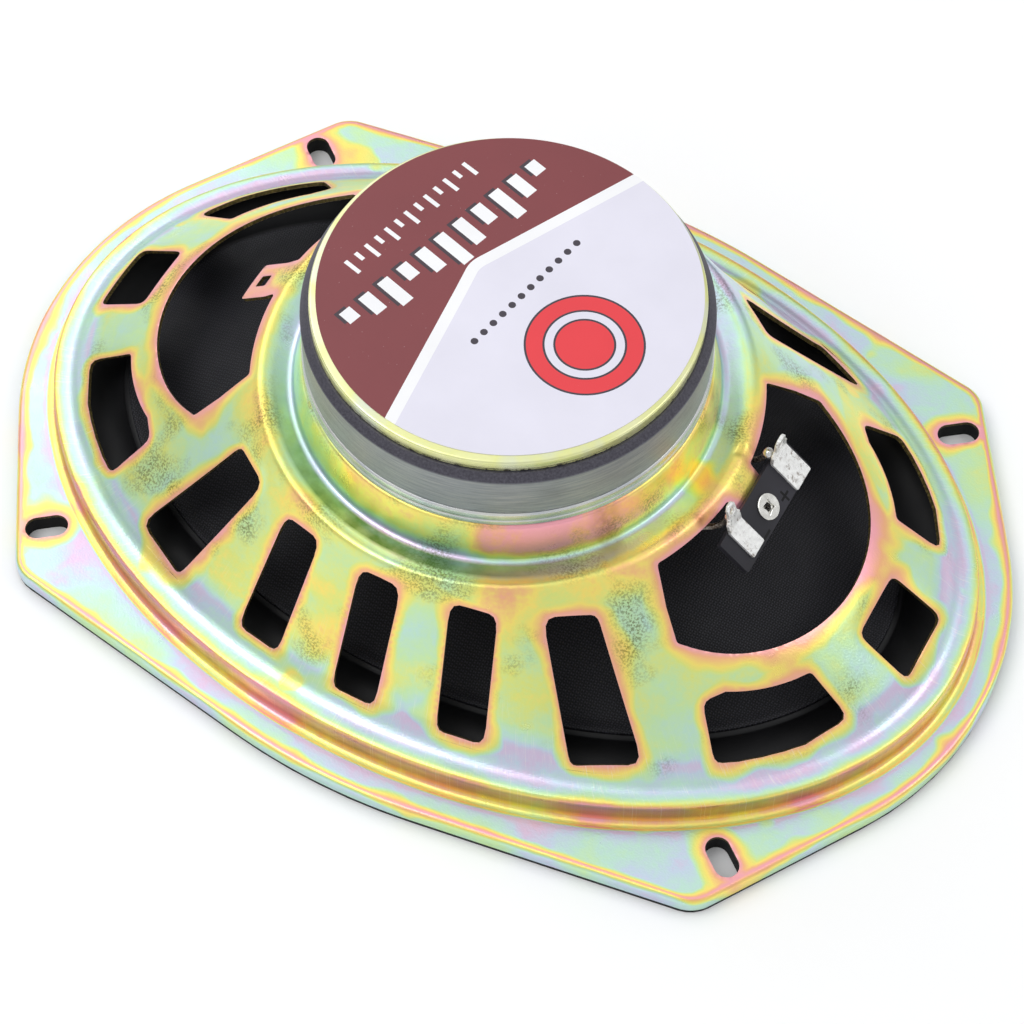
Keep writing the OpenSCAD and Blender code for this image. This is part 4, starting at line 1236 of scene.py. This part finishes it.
def terminal(name, node, material, y, width, flat_length, lug):
    """A flat strip on the board with a lug bent up at its inner end. lug: length, lean, width, hole."""
    length, lean, lug_width, hole = lug
    tilt = TAB_SLOPE + math.radians(lean)
    up = (-math.sin(tilt), math.cos(tilt))
    half = STRIP / 2
    corner = (STRIP_START + half * (1 / math.cos(tilt) - math.tan(tilt)), BOARD_THICKNESS + half)
    outer = (STRIP_START + flat_length, corner[1])
    lug_end = (corner[0] + up[0] * (length - half), corner[1] + up[1] * (length - half))
    route = softened([outer, corner, lug_end], 0.5, 6, closed=False)
    end = float(np.sum(np.linalg.norm(np.diff(np.array(route), axis=0), axis=1)))
    shoulder = flat_length - (corner[0] - STRIP_START) + length * 0.45
    w, v = width / 2, lug_width / 2
    side = [(0, w), (shoulder - 0.8, w), (shoulder + 0.6, v), (end - 0.9, v * 0.9), (end, v * 0.45)]
    radii = [0.4, 0.5, 0.5, 0.6, 0.5]
    outline = softened([(x, -across) for x, across in side] + side[::-1], radii + radii[::-1])
    pressed_strip(name, outline, [circle(end - 2.1, 0, hole, 20)], route, STRIP,
                  TAB @ Matrix.Translation((0, y, 0)), material, replaces=(node,))


def terminals(m):
    """The board with its rivet, the two blades with their solder, and the braided leads."""
    low, high = BOARD_X
    outline = softened([(low, -BOARD_Y), (high, -BOARD_Y), (high, BOARD_Y), (low, BOARD_Y)], 0.5)
    board = plate("board", outline, [circle(0, 0, RIVET_SHANK, 32)], 0, BOARD_THICKNESS,
                  [m["board"], m["board_ink"]], place=TAB, marks=[(bar(*sign), 1) for sign in SIGNS],
                  replaces=("terminal_board",))
    rounded_edges(board, 0.18)
    terminal("positive_blade", "positive_terminal", m["tin"], 11, 6.3, 8.5, (6.4, 0, 4.2, 0.8))
    terminal("negative_blade", "negative_terminal", m["tin"], -9.3, 4.9, 7.6, (7.8, 15, 3.2, 0.9))
    turns = [math.radians(135 + 45 * k) for k in range(8)]
    star = [(STAR_RADII[k % 2] * math.cos(a), STAR_RADII[k % 2] * math.sin(a)) for k, a in enumerate(turns)]
    head = plate("rivet_head", circle(0, 0, RIVET_HEAD, 40), [star], BOARD_THICKNESS,
                 BOARD_THICKNESS + RIVET_HEAD_THICKNESS, m["rivet"], place=TAB)
    rounded_edges(head, 0.2, 3)
    bore = circle(0, 0, RIVET_BORE, 24)
    foot = plate("rivet_foot", circle(0, 0, RIVET_HEAD - 0.4, 40), [bore],
                 -SHEET - RIVET_HEAD_THICKNESS, -SHEET, m["rivet"], place=TAB)
    rounded_edges(foot, 0.15)
    shank = plate("rivet_shank", circle(0, 0, RIVET_SHANK, 32), [bore], -SHEET, BOARD_THICKNESS,
                  m["rivet"], place=TAB, replaces=("terminal_rivet",))
    rounded_edges(shank, 0.05, 1)
    for side, name in ((1, "positive"), (-1, "negative")):
        solder_blob(f"{name}_solder", side, m["solder"])
        lead(f"{name}_lead_braid", f"{name}_lead", side, LEAD_ROUTE, LEAD_BEND, LEAD_RADIUS, m["tinsel"],
             sides=24, strands=6, pitch=2.6)


def lead(name, node, side, route, bend, radius, material, **rope):
    """A lead along a route, mirrored where side is -1, riding on nothing. The two places of its bend are not
    used."""
    path = smooth_route([(x, side * y, z) for x, y, z in route])
    made = swept_tube(name, path, radius, material, node, **rope)
    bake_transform(made)


def solder_blob(name, side, material):
    """A lump of solder on the foot of a lug, sagging on to it."""
    x, y, z = SOLDER_PLACE
    points, rows, columns = [], 14, 24
    for i in range(rows):
        tilt = math.pi * (i + 0.5) / rows
        for k in range(columns):
            turn = 2 * math.pi * k / columns
            lump = 1 - 0.05 * math.sin(2 * turn + 0.3 * i) * math.sin(tilt) - 0.04 * math.cos(turn)
            way = (math.sin(tilt) * math.cos(turn), math.sin(tilt) * math.sin(turn), math.cos(tilt))
            points.append(np.array((x, side * y, z)) + SOLDER_RADIUS * lump * np.array(way))
    faces = grid_faces(rows, columns)
    faces += [tuple(range(columns)), tuple((rows - 1) * columns + k for k in range(columns - 1, -1, -1))]
    nodes = ("solder_joints",) if side > 0 else ()
    mesh_object(name, points, [f[::-1] for f in faces], material, STILL, nodes)


# ---------------------------------------------------------------- cone assembly

# The surround's roll starts this far inwards of the raised oval.
SURROUND_START = 4.2
# How far the cone's lip lies over the surround.
LIP_GAP = 0.03
SPIDER_FOOT = 15.5
SPIDER_RIM = 51.0
SPIDER_WAVES = (19.5, 44.5)
SPIDER_WAVE_COUNT = 5
SPIDER_WAVE_HEIGHT = 1.1
SPIDER_THICKNESS = 0.5
DUST_RING = [(5.6, 39), (15.23, 39), (15.23, 41), (5.6, 41)]


def cone_assembly(m):
    """The surround with its roll, the cone with its lip, the spider and the ring under the post."""
    top = LEDGE_Z - SHEET
    seat = -CONE_INSET - CONE_LIP
    half = (CONE_INSET - SURROUND_START) / 2
    deep = SURROUND_ROLL - SURROUND_THICKNESS
    under = top - SURROUND_THICKNESS

    def roll(reach, height):
        return [oval_ring(-SURROUND_START - half + reach * math.cos(t), height - deep * math.sin(t))
                for t in np.linspace(0, math.pi, 25)]

    rings = [oval_ring(-1.2, top), oval_ring(-4.0, top), *roll(half - SURROUND_THICKNESS, top)]
    rings += [oval_ring(seat, top), oval_ring(seat, under), *roll(half, under)[::-1], oval_ring(-1.2, under)]
    edge = oval_loft("surround_roll", rings, m["surround"], None, "surround")
    flexes(edge, from_oval, -SURROUND_START - 0.4, 0.4 - CONE_INSET)

    def cone_ring(f, drop):
        height = CONE_NECK_Z + (CONE_RIM_Z - CONE_NECK_Z) * f ** CONE_FLARE - drop
        return lambda turn: (CONE_NECK_RADIUS + (oval_radius(turn, seat) - CONE_NECK_RADIUS) * f, height)

    fractions = np.linspace(0, 1, 30)[:-1]
    lip = [(seat - 0.5, 0.75), (seat + 0.5, 0.8), (-CONE_INSET - 0.6, 0.8), (-CONE_INSET - 0.4, 0.6),
           (-CONE_INSET - 0.4, 0), (seat, 0)]
    rings = [cone_ring(f, 0) for f in fractions]
    rings += [oval_ring(grow, top + LIP_GAP + up) for grow, up in lip]
    rings += [cone_ring(f, CONE_THICKNESS) for f in fractions[::-1]]
    oval_loft("cone_body", rings, m["woven_cone"], CONE, "cone", 320)
    inner, outer = SPIDER_WAVES
    wave = 2 * math.pi * SPIDER_WAVE_COUNT / (outer - inner)
    spider = [(r, SPIDER_Z + SPIDER_WAVE_HEIGHT * math.sin(wave * (r - inner)))
              for r in np.linspace(inner, outer, 81)]
    spider = [(SPIDER_FOOT, SPIDER_Z), *spider, (SPIDER_RIM, SPIDER_Z)]
    disc = lathe("spider_disc", thickened(spider, -SPIDER_THICKNESS), m["spider"], "spider", None)
    flexes(disc, from_axis, outer, inner)
    lathe("dust_seal", softened(DUST_RING, 0.4, 3), m["surround"], "dust_ring", CONE, 96)


# ---------------------------------------------------------------- tweeter

# Route of the tweeter's positive lead, from the pod to the cone, and where it starts and stops to
# bend. The negative one mirrors it.
TWEETER_LEAD_ROUTE = [(18.2, 7.5, 18.6), (21.2, 7.6, 18.6), (24.4, 8, 19), (27.2, 8.8, 20.2),
                      (29.6, 9.7, 22.2), (31.2, 10.3, 24.8), (31.9, 10.5, 27.4), (32, 10.5, 28.8),
                      (32, 10.5, 30.1)]
TWEETER_LEAD_BEND = ((23.5, 8, 19), (31, 10.2, 25))
TWEETER_LEAD_RADIUS = 0.5
# Turned pieces: name, node, material, (radius, height) corners, their rounding, its steps, steps round.
TURNED = [
    ("pod_cup", "tweeter_housing", "pod",
     [(21.8, 3), (23, 3), (23, 15), (21, 20), (12, 24), (2.55, 24), (2.55, 22.8), (11.6, 22.8),
      (19.8, 18.8), (21.8, 13.8), (17.03, 13.8), (17.03, 9.45), (21.8, 9.45)],
     [0.4, 0.5, 1.6, 1.6, 1.6, 0, 0, 1, 1, 0, 0, 0, 0], 5, 128),
    ("face_ring", "tweeter_face_ring", "pod",
     [(15.6, 9.15), (15.6, 7.6), (20.6, 3.4), (21.7, 3.4), (21.7, 5), (18.6, 9.15)],
     [0.1, 0.5, 0.4, 0.2, 0.2, 0.1], 4, 128),
    ("yoke_cup", "tweeter_yoke", "silver_plate",
     [(AXIS, 18), (17, 18), (17, 10.4), (13.2, 10.4), (13.2, 16.2), (AXIS, 16.2)],
     [0, 0.5, 0.4, 0.2, 0.2, 0], 4, 128),
    ("post_turned", "tweeter_post", "silver_plate",
     [(AXIS, 19), (2.47, 19), (2.47, 24), (4, 24), (4, 56), (2.47, 56), (2.47, 64), (AXIS, 64)],
     [0, 0.3, 0, 0.4, 0.4, 0, 0.5, 0], 3, 64),
]
DOME_Z = 9.2
DOME_BASE = 12.6
DOME_RISE = 3.6
DOME_THICKNESS = 0.3
SUSPENSION_START = 12.9
SUSPENSION_HUMP = 1.1
SUSPENSION_RIM = 18.6
SUSPENSION_THICKNESS = 0.2
GRILLE_RADIUS = 21.7
GRILLE_OPENING = 19.4
GRILLE_DISC = 4.5
GRILLE_ARM_HALF = 1.0
GRILLE_Z = (2.2, 3.4)


def tweeter(m):
    """The tweeter on its post: leads, pod, face ring, yoke, post, dome, suspension and grille."""
    for side, name in ((1, "positive"), (-1, "negative")):
        lead(f"tweeter_{name}_wire", f"tweeter_lead_{name}", side, TWEETER_LEAD_ROUTE, TWEETER_LEAD_BEND,
             TWEETER_LEAD_RADIUS, m["wire"])
    for name, node, material, corners, radii, corner_steps, steps in TURNED:
        lathe(name, softened(corners, radii, corner_steps), m[material], node, STILL, steps)
    ball = (DOME_BASE * DOME_BASE + DOME_RISE * DOME_RISE) / (2 * DOME_RISE)
    dome = [(ball * math.sin(t), DOME_Z - DOME_RISE + ball * (1 - math.cos(t)))
            for t in np.linspace(0.004, math.asin(DOME_BASE / ball), 20)]
    lathe("dome_cap", thickened(dome, DOME_THICKNESS), m["amber"], "tweeter_dome", DOME, 128, "dome_film")
    hump = [(SUSPENSION_START + SUSPENSION_HUMP * (1 + math.cos(t)), DOME_Z - SUSPENSION_HUMP * math.sin(t))
            for t in np.linspace(math.pi, 0, 16)] + [(SUSPENSION_RIM, DOME_Z)]
    edge = lathe("dome_edge", thickened(hump, SUSPENSION_THICKNESS), m["amber"], "tweeter_suspension", None,
                 128, "dome_film")
    flexes(edge, from_axis, SUSPENSION_START + 2 * SUSPENSION_HUMP, SUSPENSION_START)
    guard = plate("grille", circle(0, 0, GRILLE_RADIUS, 120), grille_openings(), *GRILLE_Z, m["pod"],
                  replaces=("tweeter_grille",))
    rounded_edges(guard, 0.25)


def grille_openings():
    """The three openings between the grille's disc, arms and ring."""
    openings = []
    for k in range(3):
        start, stop = math.radians(90 + 120 * k), math.radians(210 + 120 * k)
        far, near = (math.asin(GRILLE_ARM_HALF / radius) for radius in (GRILLE_OPENING, GRILLE_DISC))
        outer = arc(0, 0, GRILLE_OPENING, start + far, stop - far, 30)
        inner = arc(0, 0, GRILLE_DISC, stop - near, start + near, 14)
        openings.append(softened(outer + inner, [0.8] + [0] * 28 + [0.8, 0.5] + [0] * 12 + [0.5], 3))
    return openings


# CAD nodes that keep their mesh, each with its material.
PLAIN_NODES = {"front_gasket": "gasket", "voice_coil_former": "amber", "voice_coil_winding": "copper",
               "lead_glue_dabs": "glue", "staking_rivets": "silver_plate", "post_nut": "silver_plate",
               "tweeter_magnet": "ferrite", "tweeter_pole_plate": "silver_plate",
               "tweeter_voice_coil": "copper", "tweeter_capacitor": "sleeve"}


def plain_nodes(m):
    for name, material in PLAIN_NODES.items():
        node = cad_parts[name]
        node.data.materials.clear()
        node.data.materials.append(m[material])


# ---------------------------------------------------------------- studio

SKY_LOW = 0.70
SKY_HIGH = 0.90
SKY_COLOUR = (0.98, 0.99, 1.0, 1)
FLOOR_SIZE = 6
# Parts of the room seen in the metal: azimuth, elevation, how wide in degrees, and how much brighter.
ROOM = [(28, 60, 30, -0.18), (-62, 25, 36, -0.25), (188, 26, 30, -0.45), (208, 60, 28, 0.10),
        (248, 46, 30, 0.25), (104, 35, 26, -0.20)]
# Name, azimuth, elevation, distance and size in metres, and power in watts.
LAMPS = [("key", -50, 62, 0.95, 0.5, 2.1), ("side", 115, 48, 1.0, 0.4, 1.0), ("rear", 244, 42, 1.0, 0.5, 0.9)]


def studio():
    """A pale floor, a pale room with softly brighter and darker sides, and three wide lamps."""
    bpy.ops.mesh.primitive_plane_add(size=FLOOR_SIZE, location=(0, 0, 0))
    floor = bpy.context.object
    floor.name = "floor"
    floor.data.materials.append(pale_floor())
    world = bpy.data.worlds.new("studio")
    bpy.context.scene.world = world
    world.use_nodes = True
    tree = world.node_tree
    place = tree.nodes.new("ShaderNodeTexCoord").outputs["Generated"]
    height = add_node(tree, "ShaderNodeSeparateXYZ", {0: place}).outputs["Z"]
    sky = {0: height, 1: 0.0, 2: 0.9, 3: SKY_LOW, 4: SKY_HIGH}
    level = add_node(tree, "ShaderNodeMapRange", sky).outputs[0]
    for azimuth, elevation, width, gain in ROOM:
        aim = tuple(toward(azimuth, elevation))
        dot = add_node(tree, "ShaderNodeVectorMath", {0: place, 1: aim}, operation="DOT_PRODUCT")
        lobe = {0: dot.outputs["Value"], 1: math.cos(math.radians(width)), 2: 1.0, 3: 0.0, 4: gain}
        lobe = add_node(tree, "ShaderNodeMapRange", lobe, interpolation_type="SMOOTHSTEP").outputs[0]
        level = add_node(tree, "ShaderNodeMath", {0: level, 1: lobe}, operation="ADD").outputs[0]
    tree.links.new(level, tree.nodes["Background"].inputs["Strength"])
    tree.nodes["Background"].inputs["Color"].default_value = SKY_COLOUR
    for name, azimuth, elevation, distance, size, power in LAMPS:
        data = bpy.data.lights.new(name, "AREA")
        data.size = size
        data.energy = power
        light = bpy.data.objects.new(name, data)
        light.location = toward(azimuth, elevation) * distance
        light.rotation_mode = "QUATERNION"
        light.rotation_quaternion = (-toward(azimuth, elevation)).to_track_quat("-Z", "Y")
        bpy.context.scene.collection.objects.link(light)
    bpy.context.scene.view_settings.view_transform = "Standard"


def main():
    make_camera()
    m = {
        "zinc": yellow_zinc(), "wall": shaded_sheared_wall(), "edge": painted_highlight_edge(), "pale_zinc": pale_zinc(),
        "silver_plate": silver_plate(), "ferrite": ferrite(), "woven_cone": woven_cone(),
        "gasket": black_plastic("gasket_foam", (26, 26, 28), 0.7, 0.9, 0.5, 0.08),
        "surround": black_plastic("surround_rubber", (22, 22, 24), 0.45, 0.65, 0.35, 0.03),
        "board": black_plastic("board_laminate", (40, 39, 45), 0.4, 0.6, 0.25, 0.02),
        "board_ink": black_plastic("board_ink", (3, 3, 4), 0.5, 0.7, 0.25, 0.02),
        "pod": black_plastic("pod_plastic", (28, 28, 31), 0.35, 0.5, 0.3, 0.02),
        "wire": black_plastic("lead_sleeve", (22, 22, 24), 0.4, 0.55, 0.4, 0.01),
        "glue": black_plastic("black_glue", (14, 14, 15), 0.12, 0.25, 1.2, 0.08),
        "spider": spider_cloth(),
        "tin": tinned_strip(),
        "rivet": bright_metal("bright_rivet", (222, 220, 214), (250, 249, 244), 1.5, 0.16, 0.3, 0.03),
        "solder": bright_metal("solder", (186, 186, 186), (228, 228, 226), 0.8, 0.15, 0.35, 0.06),
        "tinsel": bright_metal("tinsel_braid", (120, 84, 58), (255, 244, 232), 0.45, 0.25, 0.45, 0.06),
        "copper": bright_metal("copper_wire", (150, 76, 38), (202, 116, 66), 1.0, 0.2, 0.4, 0.03),
        "amber": film_plastic("amber_film", (120, 74, 16), (172, 112, 34), 0.2, 0.35),
        "sleeve": film_plastic("capacitor_sleeve", (20, 32, 66), (30, 46, 86), 0.25, 0.4),
        "label_pale": printed("label_pale", (222, 220, 233), 0.1),
        "label_maroon": printed("label_maroon", (126, 58, 62), 0.5),
        "label_white": printed("label_white", (240, 240, 242), 0.1),
        "label_shadow": printed("label_shadow", (64, 52, 60), 0.2),
        "label_red": printed("label_red", (226, 58, 66), 0.1),
        "label_outline": printed("label_outline", (60, 54, 64), 0.1),
    }
    basket([m["zinc"], m["wall"], m["edge"]])
    motor(m)
    label(m)
    terminals(m)
    cone_assembly(m)
    tweeter(m)
    plain_nodes(m)
    studio()


main()
